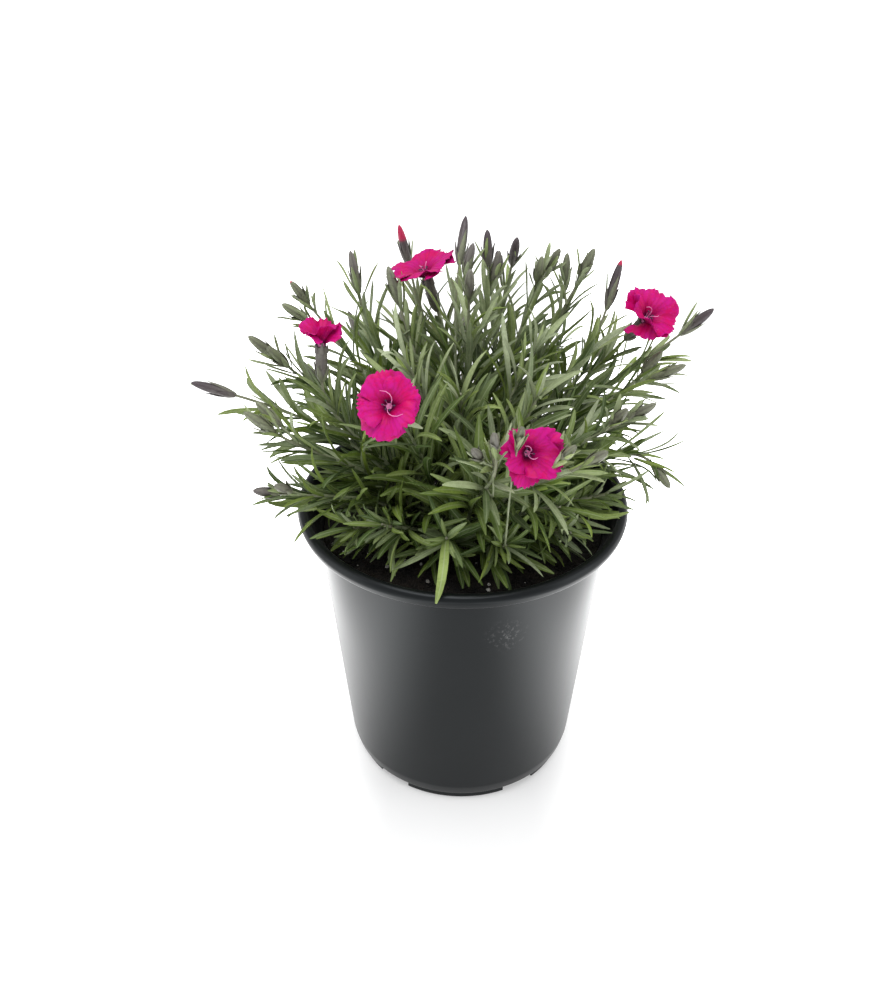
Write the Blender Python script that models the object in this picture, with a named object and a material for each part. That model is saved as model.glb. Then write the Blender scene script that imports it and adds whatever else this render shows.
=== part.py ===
"""A dianthus in a plastic nursery pot: pot, soil, leafy stems with buds, and five pink corollas.

Everything is in metres with +Z up. The origin is on the floor under the middle of the pot, and the
front of the plant faces -Y. Each stem grows from its own plain hole in the soil to a head whose place
is given as a bearing from the crown. Leaves stand in opposite pairs, and each is turned, shortened or
left out where it would cross a neighbour.
"""

import math
import random

import bmesh
import bpy
from mathutils import Matrix, Vector
from mathutils.bvhtree import BVHTree

# Pot
POT_HEIGHT = 0.156
RIM_RADIUS = 0.0825
LIP_HEIGHT = 0.0065
LIP_WIDTH = 0.005
NECK_RADIUS = 0.073
NECK_Z = 0.144
BASE_RADIUS = 0.0606
BASE_Z = 0.011
WALL = 0.0016
FOOT_HEIGHT = 0.005
FOOT_RADIUS = 0.0571
FOOT_WIDTH = 0.0028
FOOT_GAPS = 5
FOOT_GAP_WIDTH = 0.019
FOOT_GAP_START = -57.5
DRAIN_RADIUS = 0.0045
DRAIN_CIRCLE = 0.046
POT_SEGMENTS = 32

# Soil
SOIL_TOP = 0.138
SOIL_EDGE_DROP = 0.002
CLEARANCE = 0.0003
CROWN = Vector((0.0, 0.0, SOIL_TOP))

# Stems
STEM_RADIUS = 0.0013
STEM_TIP_RADIUS = 0.0009
STEM_SIDES = 4
STEM_STEPS = 4
ROOT_DEPTH = 0.012
HOLE_SIDES = 5
CROWN_RADIUS = 0.033
CROWN_SPACING = 0.0072
WIDEST_LEAN = 72.0

# Leaves
LEAF_STEPS = 3
SHORT_LEAF = 0.030
SHORT_LEAF_STEPS = 2
LEAF_WIDTH = 0.0036
LEAF_KEEL = 0.0011
LEAF_ROOT_SHARE = 0.22
LEAF_ROOT_OFFSET = 0.0003
LEAF_GAP = 0.0004
NODE_TURN = 90.0
LOW_SHOOT_LEAN = 50.0

# Flowers
CALYX_LENGTH = 0.017
CALYX_RADIUS = 0.0029
SOCKET_DEPTH = 0.006
SOCKET_RADIUS = 0.0021
PETALS = 5
PETAL_TEETH = 3
PETAL_THICKNESS = 0.0007
PETAL_LIFT = 0.17
PETAL_ROOT = 0.0011
PETAL_TOOTH = 0.0012
PETAL_ROUNDING = 0.16
BUD_SIDES = 5

# Heads are placed by bearing: degrees round from +X, degrees down from upright, metres from the crown
# to the head's foot, then the same two angles for the way the head points.
BLOOMS = (
    # azimuth, lean, reach, head azimuth, head tilt, petal length, petal opening
    (104, 29, 0.109, 170, 17, 0.0160, 84),
    (-173, 37, 0.110, 71, 6, 0.0120, 50),
    (-124, 31, 0.110, -92, 56, 0.0160, 86),
    (-71, 39, 0.107, -80, 60, 0.0155, 76),
    (20, 43, 0.124, -54, 38, 0.0155, 82),
)
BUD_STEMS = (
    # azimuth, lean, reach, head azimuth, head tilt, bud length, side bud length or 0
    (109, 38, 0.136, 151, 15, 0.021, 0),
    (92, 22, 0.131, 78, 40, 0.023, 0.015),
    (76, 23, 0.130, 100, 14, 0.017, 0.015),
    (83, 10, 0.118, -83, 8, 0.015, 0),
    (70, 33, 0.134, -51, 12, 0.015, 0.012),
    (49, 28, 0.134, -44, 28, 0.014, 0.015),
    (38, 32, 0.137, -28, 21, 0.016, 0.013),
    (21, 34, 0.131, 29, 15, 0.023, 0),
    (22, 54, 0.146, -14, 43, 0.020, 0),
    (4, 48, 0.121, -24, 56, 0.018, 0.013),
    (-28, 44, 0.117, -30, 47, 0.017, 0.016),
    (-14, 62, 0.105, -62, 112, 0.013, 0),
    (-172, 52, 0.136, -165, 64, 0.020, 0),
    (171, 46, 0.126, -160, 42, 0.018, 0.016),
    (157, 37, 0.136, -167, 32, 0.013, 0.014),
    (136, 34, 0.128, 135, 14, 0.020, 0),
    (128, 26, 0.116, 132, 25, 0.018, 0),
    (-159, 51, 0.119, -164, 45, 0.017, 0.015),
    (-150, 62, 0.110, -148, 64, 0.013, 0.012),
    (-83, 42, 0.137, -110, 16, 0.009, 0.009),
    (-58, 47, 0.128, -28, 46, 0.012, 0),
)
LEAFY_STEMS = (
    # azimuth, lean, reach, head azimuth, head tilt
    (-98, 60, 0.068, -95, 40),
    (-72, 64, 0.068, -55, 52),
    (-126, 60, 0.074, -140, 50),
    (-46, 56, 0.076, -42, 58),
    (-24, 62, 0.084, -16, 62),
    (-158, 68, 0.082, -160, 78),
    (-141, 67, 0.072, -146, 60),
    (-40, 69, 0.070, -36, 62),
    (-96, 12, 0.088, -100, 20),
    (-4, 18, 0.104, -20, 24),
    (-160, 16, 0.100, -160, 24),
)
FILL_STEMS = 8
FILL_CANDIDATES = 240
FILL_LEANS = (8, 57)
FILL_REACH = (0.098, 0.119)
SEED = 27

GREEN = (0.165, 0.232, 0.105)
PINK = (0.72, 0.012, 0.215)
SOIL_BROWN = (0.022, 0.016, 0.011)
POT_GREY = (0.028, 0.031, 0.034)


def direction(azimuth, lean):
    """The unit vector that leans by these degrees from upright towards this azimuth."""
    turn, tilt = math.radians(azimuth), math.radians(lean)
    return Vector((math.sin(tilt) * math.cos(turn), math.sin(tilt) * math.sin(turn), math.cos(tilt)))


def bezier(start, leave, arrive, end, steps):
    """Points of a cubic curve from start to end."""
    points = []
    for index in range(steps + 1):
        t = index / steps
        s = 1.0 - t
        points.append(start * s**3 + leave * (3 * s * s * t) + arrive * (3 * s * t * t) + end * t**3)
    return points


def side_frames(points, hint):
    """Tangent, side and up at each point, with the side carried along the path."""
    frames = []
    side = None
    for index, point in enumerate(points):
        before = points[max(index - 1, 0)]
        after = points[min(index + 1, len(points) - 1)]
        tangent = (after - before).normalized()
        side = tangent.cross(hint) if side is None else side - tangent * side.dot(tangent)
        side.normalize()
        frames.append((tangent, side, side.cross(tangent)))
    return frames


def tube(points, radii, sides):
    """A closed round bar along a path: vertices and faces. A last radius of 0 ends it in a point."""
    hint = Vector((0.31, 0.95, 0.05))
    verts, faces = [], []
    rings = len(points) if radii[-1] > 0 else len(points) - 1
    for point, radius, (_, side, up) in zip(points[:rings], radii, side_frames(points, hint)):
        for index in range(sides):
            turn = 2 * math.pi * index / sides
            verts.append(point + side * (radius * math.cos(turn)) + up * (radius * math.sin(turn)))
    for ring in range(rings - 1):
        for index in range(sides):
            a = ring * sides + index
            b = ring * sides + (index + 1) % sides
            faces.append((a, b, b + sides, a + sides))
    faces.append(tuple(reversed(range(sides))))
    last = (rings - 1) * sides
    if rings < len(points):
        verts.append(points[-1])
        faces += [(last + i, last + (i + 1) % sides, len(verts) - 1) for i in range(sides)]
    else:
        faces.append(tuple(last + i for i in range(sides)))
    return verts, faces


def cup(foot, axis, outer, inner, sides):
    """A closed cup turned about an axis: outer and inner are (distance along, radius) from foot to mouth."""
    profile = outer + list(reversed(inner))
    points = [foot + axis * along for along, _ in profile]
    side = axis.cross(Vector((0.31, 0.95, 0.05))).normalized()
    up = side.cross(axis)
    verts, faces = [], []
    for point, (_, radius) in zip(points, profile):
        for index in range(sides):
            turn = 2 * math.pi * index / sides
            verts.append(point + side * (radius * math.cos(turn)) + up * (radius * math.sin(turn)))
    for ring in range(len(profile) - 1):
        for index in range(sides):
            a = ring * sides + index
            b = ring * sides + (index + 1) % sides
            faces.append((a, b, b + sides, a + sides))
    faces.append(tuple(reversed(range(sides))))
    last = (len(profile) - 1) * sides
    faces.append(tuple(last + i for i in range(sides)))
    return verts, faces


def blade(points, normals, width, keel, gap=0.0):
    """A closed narrow leaf: two edges with a keel below them, ending in a point. A gap makes it thicker."""
    shares = (LEAF_ROOT_SHARE, 1.0, 0.82)[: len(points) - 1]
    verts, faces = [], []
    for index in range(len(points) - 1):
        tangent = (points[index + 1] - points[max(index - 1, 0)]).normalized()
        up = (normals[index] - tangent * normals[index].dot(tangent)).normalized()
        side = tangent.cross(up)
        half = width * shares[index] / 2 + gap
        centre = points[index] + up * gap
        deep = (keel if index else keel * 0.6) + 2 * gap
        verts += [centre + side * half, centre - side * half, centre - up * deep]
    verts.append(points[-1])
    for ring in range(len(points) - 2):
        for index in range(3):
            a = ring * 3 + index
            b = ring * 3 + (index + 1) % 3
            faces.append((a, b, b + 3, a + 3))
    last = (len(points) - 2) * 3
    faces += [(last + i, last + (i + 1) % 3, len(verts) - 1) for i in range(3)]
    faces.append((2, 1, 0))
    return verts, faces


class Neighbours:
    """The shapes placed so far, to keep each new one clear of those of other pieces."""

    def __init__(self):
        self.items = []

    def add(self, owner, shape):
        verts, faces = shape
        low = [min(v[axis] for v in verts) for axis in range(3)]
        high = [max(v[axis] for v in verts) for axis in range(3)]
        self.items.append((owner, low, high, BVHTree.FromPolygons(verts, faces)))

    def blocked(self, owner, shape):
        """Whether this shape meets a placed one of another owner."""
        verts, faces = shape
        low = [min(v[axis] for v in verts) for axis in range(3)]
        high = [max(v[axis] for v in verts) for axis in range(3)]
        tree = None
        for other, other_low, other_high, other_tree in self.items:
            if other == owner:
                continue
            if any(low[a] > other_high[a] or high[a] < other_low[a] for a in range(3)):
                continue
            tree = tree or BVHTree.FromPolygons(verts, faces)
            if tree.overlap(other_tree):
                return True
        return False


def lathe(profile, segments):
    """A closed solid turned about Z from (radius, height) points that start and end on the axis."""
    verts, faces = [Vector((0, 0, profile[0][1]))], []
    for radius, height in profile[1:-1]:
        for index in range(segments):
            turn = 2 * math.pi * index / segments
            verts.append(Vector((radius * math.cos(turn), radius * math.sin(turn), height)))
    verts.append(Vector((0, 0, profile[-1][1])))
    rings = len(profile) - 2
    for index in range(segments):
        after = (index + 1) % segments
        faces.append((0, 1 + after, 1 + index))
        for ring in range(rings - 1):
            a = 1 + ring * segments
            faces.append((a + index, a + after, a + segments + after, a + segments + index))
        last = 1 + (rings - 1) * segments
        faces.append((last + index, last + after, len(verts) - 1))
    return verts, faces


def pot_profile():
    """The pot's outline from the middle of its underside, round the rim, to the middle of its floor."""
    floor = FOOT_HEIGHT + WALL
    foot_inside = FOOT_RADIUS - FOOT_WIDTH
    return (
        (0, FOOT_HEIGHT),
        (foot_inside, FOOT_HEIGHT),
        (foot_inside, 0),
        (FOOT_RADIUS, 0),
        (FOOT_RADIUS, FOOT_HEIGHT - 0.0006),
        (BASE_RADIUS - 0.0015, FOOT_HEIGHT),
        (BASE_RADIUS, BASE_Z),
        (NECK_RADIUS, NECK_Z),
        (RIM_RADIUS - 0.0062, POT_HEIGHT - LIP_HEIGHT - 0.001),
        (RIM_RADIUS - 0.0008, POT_HEIGHT - LIP_HEIGHT),
        (RIM_RADIUS, POT_HEIGHT - 0.003),
        (RIM_RADIUS - 0.001, POT_HEIGHT - 0.0008),
        (RIM_RADIUS - LIP_WIDTH / 2, POT_HEIGHT),
        (RIM_RADIUS - LIP_WIDTH, POT_HEIGHT - 0.0006),
        (RIM_RADIUS - 0.0076, POT_HEIGHT - LIP_HEIGHT),
        (NECK_RADIUS - WALL, NECK_Z - 0.0006),
        (BASE_RADIUS - WALL, BASE_Z),
        (BASE_RADIUS - WALL - 0.003, floor),
        (0, floor),
    )


def soil_profile():
    """The soil's outline, a clearance inside the pot."""
    floor = FOOT_HEIGHT + WALL + CLEARANCE
    inside = BASE_RADIUS - WALL - CLEARANCE
    share = (SOIL_TOP - SOIL_EDGE_DROP - BASE_Z) / (NECK_Z - BASE_Z)
    edge = inside + (NECK_RADIUS - BASE_RADIUS) * share
    return (
        (0, floor),
        (inside - 0.0032, floor),
        (inside, BASE_Z),
        (edge, SOIL_TOP - SOIL_EDGE_DROP),
        (CROWN_RADIUS + 0.004, SOIL_TOP),
        (0, SOIL_TOP),
    )


class Stem:
    """One stem with its heads and leaves, as closed shapes that will be fused."""

    def __init__(self, name, azimuth, lean, reach, head_azimuth, head_tilt):
        self.name = name
        self.azimuth = azimuth
        self.lean = lean
        self.head = CROWN + direction(azimuth, lean) * reach
        self.head_way = direction(head_azimuth, head_tilt)
        self.foot = self.head.xy * (CROWN_RADIUS / (reach * math.sin(math.radians(WIDEST_LEAN))))
        self.buds = ()
        self.petals = None
        self.path = []
        self.shapes = []

    def grow(self, bow):
        """Sets the stem's path: upright out of the soil, then over to the head, bowed aside by bow."""
        out = Vector((self.foot.x, self.foot.y, SOIL_TOP + 0.002))
        span = (self.head - out).length
        leave = out + Vector((0, 0, 0.38 * span)) + bow
        arrive = self.head - self.head_way * (0.3 * span) + bow * 0.5
        below = Vector((self.foot.x, self.foot.y, SOIL_TOP - ROOT_DEPTH))
        self.path = [below] + bezier(out, leave, arrive, self.head, STEM_STEPS)

    def bar(self, gap=0.0):
        """The stem's closed shape, thicker all round by gap."""
        count = len(self.path) - 1
        radii = [
            gap + STEM_RADIUS + (STEM_TIP_RADIUS - STEM_RADIUS) * index / count for index in range(count + 1)
        ]
        return tube(self.path, radii, STEM_SIDES)

    def at(self, share):
        """The point and the direction of the stem at this share of its way above the soil."""
        place = 1 + share * (len(self.path) - 2)
        index = min(int(place), len(self.path) - 2)
        ahead = self.path[index + 1] - self.path[index]
        return self.path[index] + ahead * (place - index), ahead.normalized()


def bud_shape(foot, way, length, gap=0.0):
    """A closed spindle bud."""
    shares = (-0.06, 0.22, 0.66)
    radii = (0.0009, 0.0025, 0.0024)
    points = [foot + way * (length * share) for share in shares] + [foot + way * (length + gap)]
    return tube(points, [radius + gap for radius in radii] + [0], BUD_SIDES)


def side_bud(stem, length, turn):
    """A short branch below the head with its bud: the branch, the bud and the thickened bud."""
    point, ahead = stem.at(0.86)
    across = ahead.cross(Vector((0, 0, 1))).normalized()
    out = (Matrix.Rotation(math.radians(turn), 3, ahead) @ across).normalized()
    bend = point + (ahead * 0.75 + out * 0.66) * 0.006
    way = (ahead * 0.9 + out * 0.42 + Vector((0, 0, 0.15))).normalized()
    foot = bend + way * 0.006
    branch = tube([point, bend, foot + way * 0.001], [0.0008, 0.0008, 0.0008], 4)
    return branch, bud_shape(foot, way, length), bud_shape(foot, way, length, CLEARANCE)


def calyx_shape(foot, way):
    """The green tube below a bloom, with a socket for the corolla."""
    outer = [(-0.001, 0.001), (0.003, 0.0024), (0.010, CALYX_RADIUS), (CALYX_LENGTH, CALYX_RADIUS - 0.0001)]
    inner = [(CALYX_LENGTH - SOCKET_DEPTH, SOCKET_RADIUS), (CALYX_LENGTH, SOCKET_RADIUS)]
    return cup(foot, way, outer, inner, 6)


def petal_shape(centre, way, turn, length, opening):
    """One closed toothed petal that leaves the flower's axis and opens to this angle from it."""
    side = way.cross(Vector((0.17, 0.2, 0.96))).normalized()
    out = (Matrix.Rotation(math.radians(turn), 3, way) @ side).normalized()
    across = way.cross(out)
    start, end = math.radians(opening * 0.45), math.radians(opening)
    root = centre + out * PETAL_ROOT
    middle = root + (way * math.cos(start) + out * math.sin(start)) * (length * 0.42)
    edge = middle + (way * math.cos(end) + out * math.sin(end)) * (length * 0.58)
    rows = (
        # point, half width, angle from the axis, number of parts across, dip between teeth
        (root, PETAL_ROOT / 2, start, 1, 0),
        (middle, 0.30 * length, (start + end) / 2, PETAL_TEETH, 0),
        (edge, 0.68 * length, end, 2 * PETAL_TEETH, PETAL_TOOTH),
    )
    top, bottom = [], []
    for point, half, angle, columns, dip in rows:
        normal = way * math.sin(angle) - out * math.cos(angle)
        ahead = way * math.cos(angle) + out * math.sin(angle)
        for column in range(columns + 1):
            share = 2 * column / columns - 1
            back = PETAL_ROUNDING * (half / 0.68) * share * share + (0 if column % 2 else dip)
            place = point + across * (half * share) - ahead * back + normal * (PETAL_LIFT * half * share)
            top.append(place + normal * (PETAL_THICKNESS / 2))
            bottom.append(place - normal * (PETAL_THICKNESS / 2))
    return thick_sheet(top, bottom, petal_triangles(), petal_border())


def petal_triangles():
    """One face of a petal: two points at the root, one for each tooth's foot, then every tooth's tip."""
    middle, edge = 2, 3 + PETAL_TEETH
    half = (PETAL_TEETH + 1) // 2
    faces = [(0, middle + i, middle + i + 1) for i in range(half - 1)]
    faces.append((0, middle + half - 1, 1))
    faces += [(1, middle + i, middle + i + 1) for i in range(half - 1, PETAL_TEETH)]
    for tooth in range(PETAL_TEETH):
        foot, tip = middle + tooth, edge + 2 * tooth + 1
        faces += [(foot, tip, foot + 1), (foot, tip - 1, tip), (foot + 1, tip, tip + 1)]
    return faces


def petal_border():
    """The rim of a petal's face in order."""
    middle, edge = 2, 3 + PETAL_TEETH
    far = edge + 2 * PETAL_TEETH
    return [1, 0, middle] + list(range(edge, far + 1)) + [middle + PETAL_TEETH]


def thick_sheet(top, bottom, triangles, border):
    """A closed sheet from its two faces, which are split alike, and the rim between them."""
    below = len(top)
    faces = list(triangles)
    faces += [tuple(below + i for i in reversed(tri)) for tri in triangles]
    for a, b in zip(border, border[1:] + border[:1]):
        faces.append((a, below + a, below + b))
        faces.append((a, below + b, b))
    return top + bottom, faces


def corolla_shapes(stem, draw):
    """The closed petals of a bloom and the tube that stands in the calyx."""
    length, opening = stem.petals
    top = stem.head + stem.head_way * CALYX_LENGTH
    seat = top - stem.head_way * (SOCKET_DEPTH - CLEARANCE)
    centre = top + stem.head_way * 0.0008
    collar = [seat, top + stem.head_way * 0.0006, centre + stem.head_way * 0.0014]
    shapes = [tube(collar, [SOCKET_RADIUS - 0.0005, SOCKET_RADIUS - 0.0005, 0.0019], 5)]
    start = draw.uniform(0, 72)
    for index in range(PETALS):
        turn = start + index * 360 / PETALS + draw.uniform(-4, 4)
        leaned = opening + draw.uniform(-3, 3)
        shapes.append(petal_shape(centre, stem.head_way, turn, length, leaned))
    return shapes


def leaf_shape(root, ahead, out, length, spread, bend, gap=0.0):
    """A leaf that leaves a stem at this spread from its direction and bends on outwards."""
    points, normals = [root + out * LEAF_ROOT_OFFSET], []
    angle = math.radians(spread)
    steps = LEAF_STEPS if length > SHORT_LEAF else SHORT_LEAF_STEPS
    for _ in range(steps):
        normals.append(ahead * math.sin(angle) - out * math.cos(angle))
        points.append(points[-1] + (ahead * math.cos(angle) + out * math.sin(angle)) * (length / steps))
        angle += math.radians(bend) / steps
    width = LEAF_WIDTH * min(1.0, 0.55 + length / 0.09)
    return blade(points, normals, width, LEAF_KEEL, gap)


def spread_feet(stems):
    """Moves the stems' feet apart until none is closer than the spacing, nor far from the crown."""
    for _ in range(200):
        for index, one in enumerate(stems):
            for other in stems[index + 1 :]:
                apart = other.foot - one.foot
                if apart.length < CROWN_SPACING:
                    push = apart.normalized() * ((CROWN_SPACING - apart.length) / 2)
                    one.foot = one.foot - push
                    other.foot = other.foot + push
        for one in stems:
            if one.foot.length > CROWN_RADIUS:
                one.foot = one.foot.normalized() * CROWN_RADIUS


def fill_bearings(placed, draw):
    """Bearings for the other stems, each as far as can be from all the stems placed before it."""
    golden = 180 * (3 - math.sqrt(5))
    choices = []
    for index in range(FILL_CANDIDATES):
        spread = math.sqrt((index + 0.5) / FILL_CANDIDATES)
        lean = FILL_LEANS[0] + (FILL_LEANS[1] - FILL_LEANS[0]) * spread
        azimuth = (index * golden) % 360 - 180
        if not (-150 < azimuth < -30 and lean > 34):
            choices.append((azimuth, lean))
    ways = [direction(stem.azimuth, stem.lean) for stem in placed]
    found = []
    for _ in range(FILL_STEMS):
        azimuth, lean = min(choices, key=lambda pick: max(direction(*pick).dot(way) for way in ways))
        ways.append(direction(azimuth, lean))
        found.append((azimuth + draw.uniform(-3, 3), lean, draw.uniform(*FILL_REACH)))
    return found


def plan_stems(draw):
    """All the stems with their heads, before they are grown."""
    stems = []
    for index, (azimuth, lean, reach, head_azimuth, tilt, length, opening) in enumerate(BLOOMS):
        stem = Stem(f"bloom_stem_{index + 1}", azimuth, lean, reach, head_azimuth, tilt)
        stem.petals = (length, opening)
        stems.append(stem)
    for azimuth, lean, reach, head_azimuth, tilt, length, side in BUD_STEMS:
        stem = Stem("bud", azimuth, lean, reach, head_azimuth, tilt)
        stem.buds = (length, side)
        stems.append(stem)
    for azimuth, lean, reach, head_azimuth, tilt in LEAFY_STEMS:
        stems.append(Stem("leafy", azimuth, lean, reach, head_azimuth, tilt))
    for index, (azimuth, lean, reach) in enumerate(fill_bearings(stems, draw)):
        stem = Stem("bud" if index % 3 else "leafy", azimuth, lean, reach, azimuth, lean * 0.8)
        if index % 3:
            stem.buds = (draw.uniform(0.013, 0.018), 0.013 if index % 2 else 0)
        stems.append(stem)
    for kind in ("bud", "leafy"):
        for index, stem in enumerate([stem for stem in stems if stem.name == kind]):
            stem.name = f"{kind}_stem_{index + 1:02d}"
    return stems


def grow_stem(stem, near, draw):
    """Finds a bow that keeps the stem and its heads clear, and records their shapes."""
    for attempt in range(60):
        size = 0.0006 * attempt
        bow = Vector((draw.uniform(-size, size), draw.uniform(-size, size), 0))
        stem.grow(bow)
        turn = draw.uniform(0, 360)
        shapes, tests = [stem.bar()], [stem.bar(CLEARANCE)]
        if stem.petals:
            shapes.append(calyx_shape(stem.head, stem.head_way))
            tests.append(shapes[-1])
        if stem.buds:
            shapes.append(bud_shape(stem.head, stem.head_way, stem.buds[0]))
            tests.append(bud_shape(stem.head, stem.head_way, stem.buds[0], CLEARANCE))
        if stem.buds and stem.buds[1]:
            branch, bud, thick_bud = side_bud(stem, stem.buds[1], turn)
            shapes += [branch, bud]
            tests += [branch, thick_bud]
        if not any(near.blocked(stem.name, test) for test in tests):
            stem.shapes = shapes
            for shape in shapes:
                near.add(stem.name, shape)
            return True
    return False


def grow_leaves(stem, near, draw):
    """Adds the stem's opposite pairs of leaves, each kept clear of the neighbours."""
    if stem.petals or stem.buds:
        nodes = ((0.14, 0.052, 44), (0.46, 0.044, 34), (0.78, 0.026, 28))
    elif stem.lean > LOW_SHOOT_LEAN:
        nodes = ((0.14, 0.040, 52), (0.38, 0.034, 50), (0.62, 0.030, 46), (0.82, 0.026, 38), (0.97, 0.022, 20))
    else:
        nodes = ((0.12, 0.050, 46), (0.42, 0.048, 38), (0.70, 0.040, 30), (0.96, 0.030, 18))
    turn = draw.uniform(0, 180)
    for share, length, spread in nodes:
        root, ahead = stem.at(share)
        across = ahead.cross(Vector((0.12, 0.99, 0.05))).normalized()
        for pair in (0, 180):
            size = length * draw.uniform(0.88, 1.12)
            bend = draw.uniform(14, 38)
            swing = draw.uniform(-8, 8)
            for step, shrink in ((0, 1), (24, 1), (-24, 1), (46, 0.9), (-46, 0.9), (0, 0.7), (20, 0.6)):
                angle = math.radians(turn + pair + step + swing)
                out = (Matrix.Rotation(angle, 3, ahead) @ across).normalized()
                leaned = spread + draw.uniform(-7, 7)
                test = leaf_shape(root, ahead, out, size * shrink, leaned, bend, LEAF_GAP)
                if near.blocked(stem.name, test):
                    continue
                shape = leaf_shape(root, ahead, out, size * shrink, leaned, bend)
                stem.shapes.append(shape)
                near.add(stem.name, shape)
                break
        turn += NODE_TURN


def plain_material(name, colour, roughness):
    """A Principled material of one colour."""
    material = bpy.data.materials.new(name)
    material.use_nodes = True
    shader = material.node_tree.nodes["Principled BSDF"]
    shader.inputs["Base Color"].default_value = (*colour, 1)
    shader.inputs["Roughness"].default_value = roughness
    shader.inputs["Metallic"].default_value = 0
    return material


def solid(name, shape, collection, material=None):
    """A mesh object of one closed shape, with its faces turned outwards."""
    mesh = bpy.data.meshes.new(name)
    mesh.from_pydata([tuple(v) for v in shape[0]], [], shape[1])
    work = bmesh.new()
    work.from_mesh(mesh)
    bmesh.ops.recalc_face_normals(work, faces=work.faces)
    work.to_mesh(mesh)
    work.free()
    if material:
        mesh.materials.append(material)
    made = bpy.data.objects.new(name, mesh)
    collection.objects.link(made)
    return made


def combine(body, shapes, operation):
    """Applies one Boolean of the body with all these closed shapes."""
    scene = bpy.context.scene.collection
    group = bpy.data.collections.new(body.name + "_operands")
    scene.children.link(group)
    for index, shape in enumerate(shapes):
        solid(f"{body.name}_operand_{index}", shape, group)
    change = body.modifiers.new("Combine", "BOOLEAN")
    change.operation = operation
    change.operand_type = "COLLECTION"
    change.collection = group
    change.solver = "EXACT"
    with bpy.context.temp_override(object=body, active_object=body, selected_objects=[body]):
        bpy.ops.object.modifier_apply(modifier=change.name)
    for helper in list(group.objects):
        bpy.data.objects.remove(helper, do_unlink=True)
    bpy.data.collections.remove(group)


def round_off(made, degrees):
    """Smooth shading with the corners past this angle kept sharp."""
    made.data.shade_smooth()
    made.data.set_sharp_from_angle(angle=math.radians(degrees))


def foot_gap_turns():
    """The angles of the gaps in the foot ring."""
    return [math.radians(FOOT_GAP_START + 360 * index / FOOT_GAPS) for index in range(FOOT_GAPS)]


def box(centre, along, half_along, half_across, low, high):
    """An upright box with its length turned along a flat direction."""
    across = Vector((-along.y, along.x, 0))
    verts = []
    for height in (low, high):
        for a, b in ((-1, -1), (1, -1), (1, 1), (-1, 1)):
            corner = centre + along * (a * half_along) + across * (b * half_across)
            verts.append(Vector((corner.x, corner.y, height)))
    faces = [(3, 2, 1, 0), (4, 5, 6, 7), (0, 1, 5, 4), (1, 2, 6, 5), (2, 3, 7, 6), (3, 0, 4, 7)]
    return verts, faces


def make_pot():
    """The pot with gaps in its foot ring and a drain hole behind each gap."""
    scene = bpy.context.scene.collection
    pot = solid("pot", lathe(pot_profile(), POT_SEGMENTS), scene, plain_material("pot_plastic", POT_GREY, 0.33))
    cutters = []
    for turn in foot_gap_turns():
        out = Vector((math.cos(turn), math.sin(turn), 0))
        ring = out * (FOOT_RADIUS - FOOT_WIDTH / 2)
        cutters.append(box(ring, out, FOOT_WIDTH, FOOT_GAP_WIDTH / 2, -0.001, FOOT_HEIGHT - 0.0004))
        hole = out * DRAIN_CIRCLE
        ends = [Vector((hole.x, hole.y, -0.002)), Vector((hole.x, hole.y, FOOT_HEIGHT + WALL + 0.002))]
        cutters.append(tube(ends, [DRAIN_RADIUS, DRAIN_RADIUS], 10))
    combine(pot, cutters, "DIFFERENCE")
    round_off(pot, 35)


def make_soil(stems):
    """The soil with one plain hole for each stem."""
    scene = bpy.context.scene.collection
    soil = solid("soil", lathe(soil_profile(), POT_SEGMENTS), scene, plain_material("soil", SOIL_BROWN, 0.95))
    hole_radius = (STEM_RADIUS + CLEARANCE) / math.cos(math.pi / HOLE_SIDES)
    holes = []
    for stem in stems:
        bottom = Vector((stem.foot.x, stem.foot.y, SOIL_TOP - ROOT_DEPTH - CLEARANCE))
        holes.append(tube([bottom, bottom + Vector((0, 0, 2 * ROOT_DEPTH))], [hole_radius, hole_radius], HOLE_SIDES))
    combine(soil, holes, "DIFFERENCE")


def build():
    """Clears the scene and makes every piece."""
    for old in list(bpy.data.objects):
        bpy.data.objects.remove(old, do_unlink=True)
    draw = random.Random(SEED)
    near = Neighbours()
    near.add("pot", lathe(pot_profile(), POT_SEGMENTS))
    near.add("soil", lathe([(r, z + 0.0005 * (z > 0.1)) for r, z in soil_profile()], POT_SEGMENTS))
    stems = plan_stems(draw)
    spread_feet(stems)
    corollas = {}
    for stem in stems:
        if stem.petals:
            corollas[stem.name] = corolla_shapes(stem, draw)
            for shape in corollas[stem.name]:
                near.add("corolla of " + stem.name, shape)
    grown = []
    for stem in stems:
        near.items = [item for item in near.items if item[0] != "soil"]
        if grow_stem(stem, near, draw):
            grown.append(stem)
        else:
            print("no clear way for", stem.name)
    near.add("soil", lathe([(r, z + 0.0005 * (z > 0.1)) for r, z in soil_profile()], POT_SEGMENTS))
    for stem in grown:
        grow_leaves(stem, near, draw)
    make_pot()
    make_soil(grown)
    green = plain_material("foliage", GREEN, 0.6)
    pink = plain_material("petals", PINK, 0.5)
    scene = bpy.context.scene.collection
    for stem in grown:
        made = solid(stem.name, stem.shapes[0], scene, green)
        combine(made, stem.shapes[1:], "UNION")
    for index, shapes in enumerate(corollas.values()):
        made = solid(f"corolla_{index + 1}", shapes[0], scene, pink)
        combine(made, shapes[1:], "UNION")
    print(len(grown), "stems,", sum(len(stem.shapes) for stem in grown), "shapes")


build()
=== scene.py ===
# %% [markdown]
# # A dianthus in a nursery pot
#
# A dianthus grows as a low dome: many slim stems rise from one crown, carry opposite pairs of narrow
# grey-green leaves, and end in a bud or in a pink toothed bloom. The pot is a round moulding of dark
# grey plastic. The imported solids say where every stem, leaf and petal is. This script grows the same
# plant by the same rule, with finer leaves, buds and petals, and gives it its colours.

# %% Load the frame
import math
import random

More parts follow.
